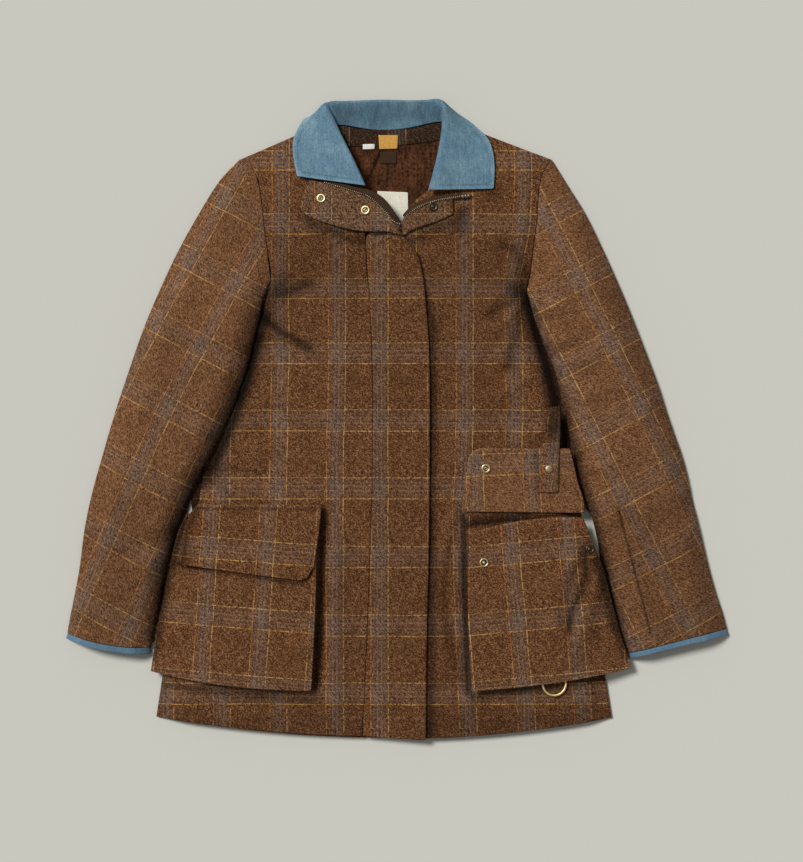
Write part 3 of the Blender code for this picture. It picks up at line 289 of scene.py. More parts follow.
def makePileGroup():
    given = openGroup("napCloth", {
        "Ground": (0.2, 0.2, 0.2, 1.0), "Worn": (0.3, 0.3, 0.3, 1.0), "Pile": 400.0, "Mottle": 0.3, "Grain": 1.0,
        "Nap": 1.0})
    cloth = given["Cloth"]
    sized = put("ShaderNodeVectorMath", {0: cloth, "Scale": given["Pile"]}, operation="SCALE").outputs[0]
    pile = grain(sized, 1.0, 3.0, 0.65)
    streak = grain(sized, napCloth["streak"])
    cloud = grain(cloth, napCloth["cloudScale"], 3.0)
    worn = times(stretch(cloud, *napCloth["wornFade"]), given["Mottle"])
    colour = blendColour(worn, given["Ground"], given["Worn"])
    pileShare, streakShare = times(pile, napCloth["pileShare"]), times(streak, napCloth["streakShare"])
    spread = calc("ADD", pileShare, streakShare)
    tone = calc("SUBTRACT", stretch(spread, *napCloth["toneFade"]), 1.0)
    tone = times(calc("MULTIPLY_ADD", tone, given["Grain"], 1.0), given["Nap"])
    return closeGroup(colour, tone, spread, stretch(pile, *napCloth["roughFade"]))


checkGroup = makeCheckGroup()
pileGroup = makePileGroup()


clothShine = {"Specular IOR Level": 0.06, "Sheen Weight": 0.02, "Sheen Roughness": 0.6}
metal = {
    "tarnishScale": 380.0, "scuffScale": (2400.0, 700.0, 900.0), "tarnishFade": (0.4, 0.66, 0.0, 0.8),
    "rubbed": 0.1, "dulled": 0.16, "bumpDepth": 0.0001, "bumpStrength": 0.3,
}


def clothMaterial(name, group, values, depth, strength, uvName=""):
    made, tree, shader = startMaterial(name)
    if uvName:
        cloth = put("ShaderNodeUVMap", {}, tree, uv_map=uvName).outputs[0]
    else:
        cloth = put("ShaderNodeTexCoord", {}, tree).outputs["Object"]
    shade = put("ShaderNodeAttribute", {}, tree, attribute_name="nap")  # painted shade in folds, gaps and under edges, painted highlight where a stroke lifts it, and paler worn edges
    sockets = {"Cloth": cloth, "Nap": shade.outputs["Fac"], **values}
    placed = put("ShaderNodeGroup", sockets, node_tree=group).outputs
    feed(shader, {
        "Base Color": placed["Color"], "Roughness": placed["Rough"],
        "Normal": bumped(placed["Height"], depth, strength), **clothShine})
    return made


def tweedMaterial(name, ground=check["ground"], show=1.0, fleck=1.0):
    values = {"Ground": linear(*ground), "Show": show, "Fleck": fleck}
    return clothMaterial(name, checkGroup, values, 0.0007, 0.45, "cloth")


def napMaterial(name, ground, worn, pile, mottle, depth=0.0006, grainAmount=1.0):
    values = {"Ground": linear(*ground), "Worn": linear(*worn), "Pile": pile, "Mottle": mottle, "Grain": grainAmount}
    return clothMaterial(name, pileGroup, values, depth, 0.4)


def metalMaterial(name, bright, dull, rough):
    made, tree, shader = startMaterial(name)
    source = put("ShaderNodeTexCoord", {}, tree).outputs["Object"]
    tarnish = stretch(grain(source, metal["tarnishScale"], 3.0), *metal["tarnishFade"])
    scuff = grain(source, metal["scuffScale"])
    feed(shader, {
        "Base Color": blendColour(tarnish, linear(*bright), linear(*dull)),
        "Roughness": stretch(scuff, 0.3, 0.7, rough - metal["rubbed"], rough + metal["dulled"]),
        "Normal": bumped(scuff, metal["bumpDepth"], metal["bumpStrength"]),
        "Metallic": 1.0, "Specular IOR Level": 0.5})
    return made


finishes = {
    "tweed": tweedMaterial("tweed"),
    "sleeve": tweedMaterial("sleeveTweed", (107, 70, 43)),
    "leaf": tweedMaterial("turnedTweed", (86, 61, 44), 1.0, 1.2),
    "inside": tweedMaterial("flapTweed", (86, 57, 35), 0.6),
    "collar": napMaterial("collarCotton", (94, 124, 141), (124, 152, 164), 520.0, 0.6, grainAmount=1.7),
    # a darker copy of the collar cotton, as painted shade on the collar's stand
    "stand": napMaterial("standCotton", (85, 114, 130), (108, 136, 150), 520.0, 0.6, grainAmount=1.7),
    "binding": napMaterial("cuffCotton", (86, 114, 132), (116, 142, 156), 520.0, 0.4),
    "lining": napMaterial("liningFleece", (66, 39, 23), (94, 58, 37), 320.0, 0.6, 0.0016, 4.6),
    # near-black tweed: painted shade on the facing under the collar's stand
    "facing": tweedMaterial("facingTweed", (39, 27, 20), 0.5, 0.35),
    "label": napMaterial("labelCream", (226, 221, 203), (234, 228, 210), 700.0, 0.3, 0.0002),
    "tab": napMaterial("tabYellow", (200, 152, 76), (214, 172, 100), 600.0, 0.4, 0.0003),
    "tag": napMaterial("tagWhite", (226, 224, 216), (236, 234, 228), 700.0, 0.3, 0.0002),
    "patch": napMaterial("patchDark", (60, 44, 32), (76, 58, 42), 600.0, 0.4, 0.0003),
    "tape": napMaterial("zipTape", (62, 44, 31), (80, 58, 42), 900.0, 0.3, 0.0003),
    "thread": napMaterial("brownThread", (74, 48, 30), (96, 66, 44), 1500.0, 0.3, 0.0001),
    "blueThread": napMaterial("blueThread", (70, 98, 116), (88, 118, 136), 1500.0, 0.3, 0.0001),
    "brass": metalMaterial("snapBrass", (228, 208, 162), (176, 148, 104), 0.40),
    "dullBrass": metalMaterial("snapCap", (186, 156, 128), (140, 112, 88), 0.46),
    # a dark copy of the brass: painted shade on snaps that lie in shadow, and in the snaps' holes and grooves
    "darkBrass": metalMaterial("snapDark", (96, 84, 68), (58, 48, 40), 0.42),
    "ringBrass": metalMaterial("ringBrass", (250, 226, 160), (216, 184, 116), 0.48),
    "teeth": metalMaterial("zipMetal", (168, 152, 124), (104, 90, 70), 0.42),
}
print("materials made:", len(finishes))


# cloth helpers
facesUp = 0.02  # a normal's least rise for a face that looks up
castFrom = 0.2  # height above the table that rays are dropped from
# how panels are meshed and laid: millimetres, or shares of the mesh step, the rim or the room
laying = {
    "quickStep": 1.8, "shortest": 0.4, "outlineStep": 5, "rowStep": 0.866, "edgeFree": 0.62, "rimRows": (0.32, 1.05),
    "rimFree": 0.85, "narrow": 4.0, "fineStep": 2.4, "fineRows": (-1.7, -0.8, 0.0, 0.8, 1.7), "fineFree": 1.6,
    "fineClear": 0.99, "pulls": (0.0, 0.4, 0.8, 1.4, 2.2, 3.5, 6.0), "keep": 0.45, "lastEase": 2, "calmEdge": 9,
    "broadWave": 46.0, "smallWave": 17.0, "smallShare": 0.35, "waveLong": 1.3, "roomShare": 0.46, "roomGap": 0.15,
    "thinRim": 0.2, "wornEdge": 1.6,
}
rounded = {"joinAngle": 0.6, "shapeAngle": 1.2, "sharpAngle": math.radians(55)}
creaseForm = {
    "bend": 0.10, "turn": 2.1, "tail": 1.3, "ends": 0.55, "belly": 0.45, "narrowEnd": 0.8, "widens": 0.5,
    "lean": 0.72, "lip": 0.32, "lipAt": 1.9,
}


def mergedCopy(name):
    bm = bmesh.new()
    bm.from_mesh(nodes[name].data)
    bmesh.ops.remove_doubles(bm, verts=bm.verts, dist=2e-6)
    bm.normal_update()
    return bm


solidParts = {}
for nodeName in nodes:
    bm = mergedCopy(nodeName)
    solidParts[nodeName] = ([tuple(v.co) for v in bm.verts], [[v.index for v in f.verts] for f in bm.faces])
    bm.free()


def treeOf(names):  # one search tree over several solids
    points, faces = [], []
    for name in names:
        base = len(points)
        points.extend(solidParts[name][0])
        faces.extend([base + i for i in face] for face in solidParts[name][1])
    return BVHTree.FromPolygons(points, faces)


def outlineOf(name):  # the rim of the faces that look up, as a loop of plan points
    bm = mergedCopy(name)
    up = {f.index for f in bm.faces if f.normal.z > facesUp}
    following = {}
    for face in bm.faces:
        if face.index not in up:
            continue
        for loop in face.loops:
            if loop.link_loop_radial_next.face.index not in up:
                following[loop.vert.index] = loop.link_loop_next.vert.index
    loops, left = [], set(following)
    while left:
        at, walked = min(left), []
        while at in left:
            left.discard(at)
            walked.append(at)
            at = following[at]
        loops.append(walked)
    bm.verts.ensure_lookup_table()
    points = np.array([bm.verts[i].co[:2] for i in max(loops, key=len)])
    bm.free()
    return points


def curveThrough(points, step):  # an even run of points on a soft curve through the given ones
    points = np.asarray(points, float)
    lengths = np.linalg.norm(np.diff(points, axis=0), axis=1)
    at = np.concatenate([[0.0], np.cumsum(lengths)])
    slope = np.zeros_like(points)
    slope[1:-1] = (points[2:] - points[:-2]) / (at[2:] - at[:-2])[:, None]
    slope[0] = (points[1] - points[0]) / lengths[0]
    slope[-1] = (points[-1] - points[-2]) / lengths[-1]
    count = max(2, int(round(at[-1] / step)) + 1)
    where = np.linspace(0.0, at[-1], count)
    k = np.clip(np.searchsorted(at, where, side="right") - 1, 0, len(lengths) - 1)
    h = lengths[k][:, None]
    t = ((where - at[k]) / lengths[k])[:, None]
    return ((2 * t**3 - 3 * t**2 + 1) * points[k] + (t**3 - 2 * t**2 + t) * h * slope[k]
            + (-2 * t**3 + 3 * t**2) * points[k + 1] + (t**3 - t**2) * h * slope[k + 1])


def softOutline(points, step, corner):  # corners stay, the runs between them are eased
    keep = [points[0]]
    for p in points[1:]:
        if np.linalg.norm(p - keep[-1]) > laying["shortest"] * mm:
            keep.append(p)
    points = np.array(keep)
    before, after = points - np.roll(points, 1, 0), np.roll(points, -1, 0) - points
    across = before[:, 0] * after[:, 1] - before[:, 1] * after[:, 0]
    turn = np.abs(np.degrees(np.arctan2(across, (before * after).sum(1))))
    corners = np.where(turn > corner)[0]
    if len(corners) == 0:
        corners = np.array([0])
    runs = []
    for i, start in enumerate(corners):
        end = corners[(i + 1) % len(corners)]
        span = (end - start) % len(points) or len(points)
        run = points[[(start + j) % len(points) for j in range(span + 1)]]
        runs.append(curveThrough(run, step)[:-1])
    return np.concatenate(runs)


def toOutline(points, loop):  # distance to a closed loop, and whether inside it
    a, b = loop, np.roll(loop, -1, 0)
    ab = b - a
    away = np.full(len(points), 1e9)
    crossings = np.zeros(len(points), int)
    for i in range(len(loop)):
        rel = points - a[i]
        t = np.clip((rel @ ab[i]) / max((ab[i] ** 2).sum(), 1e-18), 0, 1)
        away = np.minimum(away, np.hypot(*(rel - t[:, None] * ab[i]).T))
        crosses = (a[i, 1] > points[:, 1]) != (b[i, 1] > points[:, 1])
        if crosses.any():
            across = a[i, 0] + (points[:, 1] - a[i, 1]) / (b[i, 1] - a[i, 1] + 1e-18) * ab[i, 0]
            crossings += crosses & (points[:, 0] < across)
    return away, crossings % 2 == 1


def within(points, loop, margin):  # the points further inside a loop than the margin
    away, inside = toOutline(points, loop)
    return points[inside & (away > margin)]


def sideways(ahead):  # unit vectors a quarter turn from the given ones
    return np.stack([-ahead[:, 1], ahead[:, 0]], 1) / np.linalg.norm(ahead, axis=1)[:, None]


def creaseHeight(x, y, creases, seed):  # listed troughs and ridges, in millimetres
    total = np.zeros(len(x))
    form = creaseForm
    for number, (x0, y0, x1, y1, width, height) in enumerate(creases):
        dx, dy = x1 - x0, y1 - y0
        length = math.hypot(dx, dy)
        along = ((x - x0) * dx + (y - y0) * dy) / length**2
        on = np.clip(along, 0, 1)
        side = ((x - x0) * dy - (y - y0) * dx) / length
        side = side - form["bend"] * length * np.sin(on * math.pi) * math.sin(number * form["turn"] + seed)
        reach = np.where(along < 0, -along, np.where(along > 1, along - 1, 0)) * length
        body = np.exp(-(reach / (form["tail"] * width)) ** 2)
        swell = form["ends"] + form["belly"] * np.sin(on * math.pi)
        spread = width * (form["narrowEnd"] + form["widens"] * on)
        lean = np.where(side > 0, 1.0, form["lean"])
        trough = np.exp(-(side / (spread * lean)) ** 2)
        lip = form["lip"] * np.exp(-((np.abs(side) - form["lipAt"] * spread) / spread) ** 2)
        total += height * body * swell * (trough - lip)
    return total


def waveHeight(x, y, size, amount, seed):
    long = size * laying["waveLong"]
    return amount * np.array([noise.noise(Vector((a / size, b / long, seed))) for a, b in zip(x, y)])


def paintedShadeAndWear(x, y, strokes):  # painted shade along the strokes: 1 on open cloth, less along a stroke, more along one with a negative amount
    shade = np.ones(len(x))
    for points, width, amount in strokes:
        away = np.full(len(x), 1e9)
        for (x0, y0), (x1, y1) in zip(points[:-1], points[1:]):
            dx, dy = x1 - x0, y1 - y0
            t = np.clip(((x - x0) * dx + (y - y0) * dy) / (dx * dx + dy * dy), 0, 1)
            away = np.minimum(away, np.hypot(x - x0 - t * dx, y - y0 - t * dy))
        shade *= 1 - amount * np.exp(-(away / width) ** 2)
    return shade


def fineRows(points, width):  # rows along a stroke, close set across it
    line = curveThrough(points, laying["fineStep"])
    side = sideways(np.gradient(line, axis=0))
    return np.concatenate([line + side * width * off for off in laying["fineRows"]]) * mm


pieces = {}


def finishPiece(name, mesh, replaced, finish):
    piece = newObject(name, mesh)
    mesh.materials.append(finishes[finish])
    if "nap" not in mesh.attributes:
        mesh.attributes.new("nap", "FLOAT", "POINT").data.foreach_set("value", np.ones(len(mesh.vertices)))
    mesh.polygons.foreach_set("use_smooth", np.ones(len(mesh.polygons), bool))
    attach(piece, "root")
    if replaced:
        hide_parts(*replaced)
    pieces[name] = piece


def writeCloth(mesh, uvOf, strokes, wear=1.0):  # painted shade and wear from the strokes and worn edges, and plan to cloth coordinates in metres
    co = np.zeros(len(mesh.vertices) * 3)
    mesh.vertices.foreach_get("co", co)
    x, y, _ = co.reshape(-1, 3).T / mm
    nap = mesh.attributes.new("nap", "FLOAT", "POINT")
    nap.data.foreach_set("value", wear * paintedShadeAndWear(x, y, strokes))
    if not uvOf:
        return
    u, v = uvOf(x, y)
    index = np.zeros(len(mesh.loops), int)
    mesh.loops.foreach_get("vertex_index", index)
    layer = mesh.uv_layers.new(name="cloth")
    layer.data.foreach_set("uv", np.stack([u[index] * mm, v[index] * mm], 1).ravel())


def panelPlan(name, step, corner, rim, grow, strokes):  # plan points and triangles inside the solid's outline
    loop = softOutline(outlineOf(name), min(step, laying["outlineStep"] * mm), corner)
    inward = sideways(np.roll(loop, -1, 0) - np.roll(loop, 1, 0))
    if grow:
        loop = loop - inward * (grow(loop / mm, inward) * mm)[:, None]
    low, high = loop.min(0), loop.max(0)
    rows = []
    for j, y in enumerate(np.arange(low[1], high[1] + step, step * laying["rowStep"])):
        x = np.arange(low[0] - step, high[0] + step, step) + (step / 2 if j % 2 else 0.0)
        rows.append(np.stack([x, np.full_like(x, y)], 1))
    field = within(np.concatenate(rows), loop, laying["edgeFree"] * step)
    for points, width, _ in strokes:
        if width < laying["narrow"]:  # a narrow stroke gets rows of its own, so that it stays crisp
            shade = paintedShadeAndWear(field[:, 0] / mm, field[:, 1] / mm, [(points, width, 1.0)])
            fine = within(fineRows(points, width), loop, laying["fineFree"] * mm)
            field = np.concatenate([field[shade > laying["fineClear"]], fine])
    insets = [share * rim * mm for share in laying["rimRows"]]
    rimRows = [within(loop + inward * inset, loop, laying["rimFree"] * inset) for inset in insets]
    plan = np.concatenate([loop] + rimRows + [field])
    ring = [(i, (i + 1) % len(loop)) for i in range(len(loop))]
    made = geometry.delaunay_2d_cdt([Vector(p) for p in plan], ring, [], 1, 1e-7)
    plan = np.array([tuple(p) for p in made[0]])
    faces = np.array([tuple(f) for f in made[2]])
    a, b, c = plan[faces[:, 0]], plan[faces[:, 1]], plan[faces[:, 2]]
    area = (b[:, 0] - a[:, 0]) * (c[:, 1] - a[:, 1]) - (b[:, 1] - a[:, 1]) * (c[:, 0] - a[:, 0])
    faces[area < 0] = faces[area < 0][:, ::-1]
    used, faces = np.unique(faces[np.abs(area) > 1e-12], return_inverse=True)
    return plan[used], faces.reshape(-1, 3), loop, inward


def restOn(name, plan, loop, inward, wall):  # the solid's top, and the room over and under the cloth
    own, others = treeOf([name]), treeOf([n for n in nodes if n != name])
    top = np.full(len(plan), np.nan)
    roomUp, roomDown = np.ones(len(plan)), np.ones(len(plan))
    for i, spot in enumerate(plan):
        edge = np.argmin(((loop - spot) ** 2).sum(1))
        for pull in laying["pulls"]:  # past the solid's edge the cloth takes the height just inside it
            x, y = spot + inward[edge] * pull * mm
            point, normal, _, _ = own.ray_cast((x, y, castFrom), (0, 0, -1))
            if point is not None and normal.z > facesUp:
                break
        if point is None:
            continue
        top[i] = point.z
        over = others.ray_cast((x, y, top[i] + 1e-5), (0, 0, 1))
        if over[0] is not None:
            roomUp[i] = over[3]
        under = others.ray_cast((x, y, top[i] - wall), (0, 0, -1))
        roomDown[i] = under[3] if under[0] is not None else max(0.0, top[i] - wall - cadBox[0][2])
    top[np.isnan(top)] = np.nanmean(top)
    return top, roomUp, roomDown


def easerFor(plan, faces):  # eases heights over the mesh, edges along themselves only
    count = len(plan)
    edges = np.concatenate([faces[:, [0, 1]], faces[:, [1, 2]], faces[:, [2, 0]]])
    links, first, uses = np.unique(np.sort(edges, 1), axis=0, return_index=True, return_counts=True)
    borderLinks = links[uses == 1]
    border = np.zeros(count, bool)
    border[borderLinks.ravel()] = True
    inner = links[~(border[links[:, 0]] & border[links[:, 1]])]
    spans = np.concatenate([inner, borderLinks])
    weight = 1.0 / (np.linalg.norm(plan[spans[:, 0]] - plan[spans[:, 1]], axis=1) + 1 * mm)

    def eased(values, passes):
        for _ in range(passes):
            total, share = np.zeros(count), np.zeros(count)
            for one, two in ((0, 1), (1, 0)):
                mask = ~border[spans[:, one]] | border[spans[:, two]]
                np.add.at(total, spans[mask, one], weight[mask] * values[spans[mask, two]])
                np.add.at(share, spans[mask, one], weight[mask])
            values = laying["keep"] * values + (1 - laying["keep"]) * total / np.maximum(share, 1e-12)
        return values

    return eased, edges[first[uses == 1]]


def clothPanel(name, uvOf=None, wall=2.0, step=3.8, wave=1.0, ease=8, seed=1.0, rim=1.0, corner=34.0, edgeWear=0.0,
               finish="tweed", slotName="tweed", grow=None, creases=(), strokes=()):
    wall, step = wall * mm, step * mm * 1.0
    plan, faces, loop, inward = panelPlan(name, step, corner, rim, grow, strokes)
    away, _ = toOutline(plan, loop)
    raw, roomUp, roomDown = restOn(name, plan, loop, inward, wall)
    eased, rimEdges = easerFor(plan, faces)
    x, y = plan.T / mm
    shape = creaseHeight(x, y, creases, seed)
    if wave:
        calm = np.clip(away / (laying["calmEdge"] * mm), 0, 1)
        shape = shape + calm * (waveHeight(x, y, laying["broadWave"], wave, seed)
                                + waveHeight(x, y, laying["smallWave"], laying["smallShare"] * wave, seed + 7))
    moved = eased(raw, ease) - raw + shape * mm
    share, gap = laying["roomShare"], laying["roomGap"] * mm
    moved = np.clip(moved, -share * np.maximum(roomDown - gap, 0), share * np.maximum(roomUp - gap, 0))
    middle = raw + eased(moved, laying["lastEase"]) - wall / 2
    rounding = np.sqrt(np.clip(1 - (1 - np.clip(away / (rim * mm), 0, 1)) ** 2, 0, 1))
    half = wall / 2 * (rounding * (1 - laying["thinRim"]) + laying["thinRim"])
    points = np.concatenate([np.column_stack([plan, middle + half]), np.column_stack([plan, middle - half])])
    count = len(plan)
    start, end = rimEdges.T
    wallFaces = [np.column_stack([end, start, start + count]), np.column_stack([end, start + count, end + count])]
    allFaces = np.concatenate([faces, faces[:, ::-1] + count, *wallFaces])
    mesh = bpy.data.meshes.new(name + "_cloth")
    mesh.from_pydata(points.tolist(), [], allFaces.tolist())
    mesh.update()
    wear = 1.0 + edgeWear * np.exp(-(away / (laying["wornEdge"] * mm)) ** 2)
    writeCloth(mesh, uvOf, strokes, np.concatenate([wear, wear]))
    finishPiece(name + "_cloth", mesh, [name], finish)


def roundedCopy(name, finish="tweed", slotName="tweed", levels=2, crease=0.5, uvOf=None, label="_cloth", strokes=(),
                swell=0.0):
    bm = mergedCopy(name)
    bmesh.ops.join_triangles(bm, faces=bm.faces, angle_face_threshold=rounded["joinAngle"],
                             angle_shape_threshold=rounded["shapeAngle"])
    bm.normal_update()
    layer = bm.edges.layers.float.new("crease_edge")
    for edge in bm.edges:
        if len(edge.link_faces) == 2 and edge.calc_face_angle(0) > rounded["sharpAngle"]:
            edge[layer] = crease
    rough = newObject(name + "_rough", meshFrom(name + "_rough", bm))
    smoother = rough.modifiers.new("smoother", "SUBSURF")
    smoother.levels = smoother.render_levels = levels
    graph = bpy.context.evaluated_depsgraph_get()
    made = bpy.data.meshes.new_from_object(rough.evaluated_get(graph))
    made.name = name + label
    bpy.data.objects.remove(rough)
    if swell:
        for vert, way in [(v, v.normal.copy()) for v in made.vertices]:
            vert.co += way * swell * mm
    for old in list(made.uv_layers):
        made.uv_layers.remove(old)
    writeCloth(made, uvOf, strokes)
    finishPiece(name + label, made, [name], finish)


# how the check runs on each piece: millimetres across and along from a band's middle
def bodyCheck(middle, drift=0.0):
    return lambda x, y: (x - middle - drift * np.clip((y + 70) / 130, 0, 1),
                         y + 0.042 * np.maximum(0, y - 85) - 0.018 * np.minimum(0, y + 60) + 1.8)


def turnedCheck(acrossAngle, acrossAt, alongAngle, alongAt, scale=1.0):
    across, along = math.radians(acrossAngle), math.radians(alongAngle)
    return lambda x, y: (x * math.cos(across) + y * math.sin(across) - acrossAt,
                         (y * math.cos(along) - x * math.sin(along) - alongAt) * scale)


def rightSleeveCheck(x, y):  # the long bands lean further over towards the shoulder
    u, v = turnedCheck(-24.2, -273.7, -28, -34.5, 0.955)(x, y)
    u = u - 0.089 * np.maximum(0, y - 10)
    return np.where(u < 0, 1.07 * u, u), v


def leftFrontCheck(x, y):  # the outer band swings in below the armhole, and the hem swings out
    u, v = bodyCheck(85.5)(x, y)
    swing = np.interp(y, [-360, -60, 0, 90, 136, 172, 196, 242, 302], [-2.5, 9.6, 8.8, 9.4, 11.8, 14.2, 8.8, 0, -3])
    whole = np.interp(y, [-400, -360, -250, -110, -60, 0], [-5, -4, 1, 5, 1, 0])
    return u + whole + swing * np.clip((x - 100) / 40, 0, 1), v


leftSleeveCheck = turnedCheck(26.5, 284.0, 28, -40.5, 0.96)
rightPocketCheck = turnedCheck(-4, -226.0, -4, -179.0)
leftPocketCheck = turnedCheck(5, 129.0, 5, -182.0)


facing = 0.4  # how squarely an edge faces the way it is let out


# how far an edge is let out past its solid, in millimetres
def innerRight(at, inward):  # the under sleeve shows a little past the fold beside the pocket
    more = np.interp(-at[:, 1], [84, 100, 118, 284, 286], [0, 3, 5, 5, 0])
    return np.where(inward[:, 0] < -facing, more, 0.0)


def innerLeft(at, inward):
    more = np.interp(-at[:, 1], [45, 58, 110, 120, 128, 182, 289, 291], [0, 5, 5, 0, 0, 5.5, 5.5, 0])
    return np.where(inward[:, 0] > facing, more, 0.0)


def upToStand(at, inward):  # the facing is tucked in under the collar's seam
    return np.where(inward[:, 1] < -facing, 6.5, 0.0)


def openMouth(at, inward):  # the left pocket's mouth dips towards the front
    return np.where(inward[:, 1] < -facing, -7.5 * np.clip((236 - at[:, 0]) / 146, 0, 1), 0.0)


def backSide(at, inward):  # the back's side closes the slit between sleeve and front
    return np.where(inward[:, 0] > facing, 12.5 * np.exp(-((at[:, 1] + 92) / 32) ** 2), 0.0)


# what pieces of a kind share
hidden = {"step": 6, "wave": 0.0, "ease": 4}
bag = {"step": 3.6, "edgeWear": 0.3}
flap = {"wall": 3.4, "step": 3.2, "wave": 0.6, "rim": 1.6, "edgeWear": 0.3}
tab = {"uvOf": bodyCheck(0.0), "wall": 0.8, "rim": 0.4}

# creases: from, to, half width, height; strokes: line, half width, how dark, painted shade in folds, in gaps between
# parts and under edges
coatBody = {
    "back": {
        **hidden, "uvOf": bodyCheck(0.0), "grow": backSide,
        "creases": [
            (-170, 120, -96, 40, 12, 3.0), (168, 128, 100, 52, 12, 3.2), (-60, 180, -52, -40, 18, 2.4),
            (44, 150, 58, -90, 18, 2.6), (-180, -60, -60, -96, 14, 2.6), (196, -90, 70, -130, 14, 2.4),
            (-120, -150, -140, -360, 20, 2.4), (110, -170, 132, -350, 20, 2.6), (0, -180, 8, -380, 22, 2.2)],
        "strokes": [([(-236, -40), (-250, -100), (-262, -124)], 20.0, 0.88)]},
    "front_right": {
        "uvOf": bodyCheck(-79.4, 3.0), "seed": 2.0, "wave": 1.1,
        "creases": [
            (-160, 184, -112, 128, 9, 4.0), (-168, 112, -116, 82, 7, 4.5), (-172, 140, -124, 104, 6, -3.0),
            (-176, 92, -140, 58, 7, 3.5), (-92, 214, -98, 110, 14, 2.0), (-64, 190, -70, 60, 16, 2.2),
            (-190, 40, -130, 16, 10, 3.0), (-200, -34, -120, -52, 12, 2.6), (-90, -130, -97, -330, 7, -6.0),
            (-60, -120, -66, -330, 16, 1.6), (-120, 20, -60, -40, 18, 1.6), (-244, -62, -168, -67, 5, -1.6),
            (-52, -214, -60, -224, 6, -1.6)],
        "strokes": [
            ([(-95, -114), (-97.5, -200), (-104, -340)], 5.6, 0.72),
            ([(-150, 172), (-170, 140), (-182, 90), (-196, 40), (-216, -10), (-236, -70)], 15.0, 0.6),
            ([(-168, 132), (-186, 84), (-204, 26)], 10.0, 0.7), ([(-244, -62), (-168, -67)], 2.6, 0.35),
            ([(-114, 172), (-148, 158)], 8.0, 0.56), ([(-172, 130), (-150, 112), (-112, 91)], 6.5, 0.74),
            ([(-150, 200), (-60, 190)], 60.0, 0.22), ([(-300, -388), (0, -396)], 26.0, 0.28),
            ([(-64, -180), (-66, -340)], 24.0, 0.13),
            ([(-176, 104), (-194, 40), (-216, -20), (-234, -56), (-250, -84)], 7.0, 0.8),
            ([(-306, -338), (-200, -350), (-108, -358)], 6.0, 0.5),
            ([(-120, 268), (-110, 250), (-60, 230), (-20, 225), (6, 212)], 7.0, 0.55)]},
    "front_left": {
        "uvOf": leftFrontCheck, "seed": 3.0, "wave": 1.1,
        "creases": [
            (160, 186, 126, 222, 8, 3.6), (158, 150, 120, 112, 7, 4.0), (152, 164, 122, 134, 6, -3.0),
            (154, 122, 138, 72, 7, 3.6), (62, 236, 66, 150, 12, 2.0), (96, 200, 102, 70, 18, 2.0),
            (176, 56, 124, 28, 10, 3.0), (190, -10, 130, -30, 11, 2.4), (82, -120, 86, -330, 7, -6.0),
            (120, 10, 70, -60, 18, 1.6), (62, -130, 60, -330, 14, 1.6)],
        "strokes": [
            ([(84, -122), (84.5, -200), (90, -345)], 5.6, 0.8), ([(96, -129), (135, -125), (165, -120)], 7.0, 0.72),
            ([(92, -134.5), (145, -128.5), (200, -122), (236, -118)], 3.0, 0.7),
            ([(152, 168), (168, 140), (184, 90), (198, 40), (210, -10), (222, -60)], 15.0, 0.62),
            ([(128, 224), (150, 216), (163, 186)], 7.0, 0.38), ([(160, 166), (140, 148), (120, 132)], 6.5, 0.46),
            ([(153, 130), (138, 69)], 6.5, 0.44), ([(60, 190), (150, 190)], 60.0, 0.18),
            ([(63, -180), (66, -330)], 20.0, 0.22), ([(20, -396), (270, -384)], 26.0, 0.37),
            ([(80, 80), (120, -10)], 60.0, 0.11),
            ([(166, 157), (172, 127), (181, 100), (194, 60), (203, 25), (209, -5), (215, -32)], 7.5, 0.8),
            ([(96, -354), (200, -342), (292, -326)], 6.0, 0.5),
            ([(34, 160), (44, 120), (45, 24), (44, -130), (41, -400)], 7.0, 0.66),
            ([(18, 226), (44, 238), (72, 250), (86, 266)], 7.0, 0.5), ([(80, 262), (84, 250), (80, 240)], 9.0, 0.42),
            ([(128, 290), (118, 283)], 9.0, 0.4)]},
}
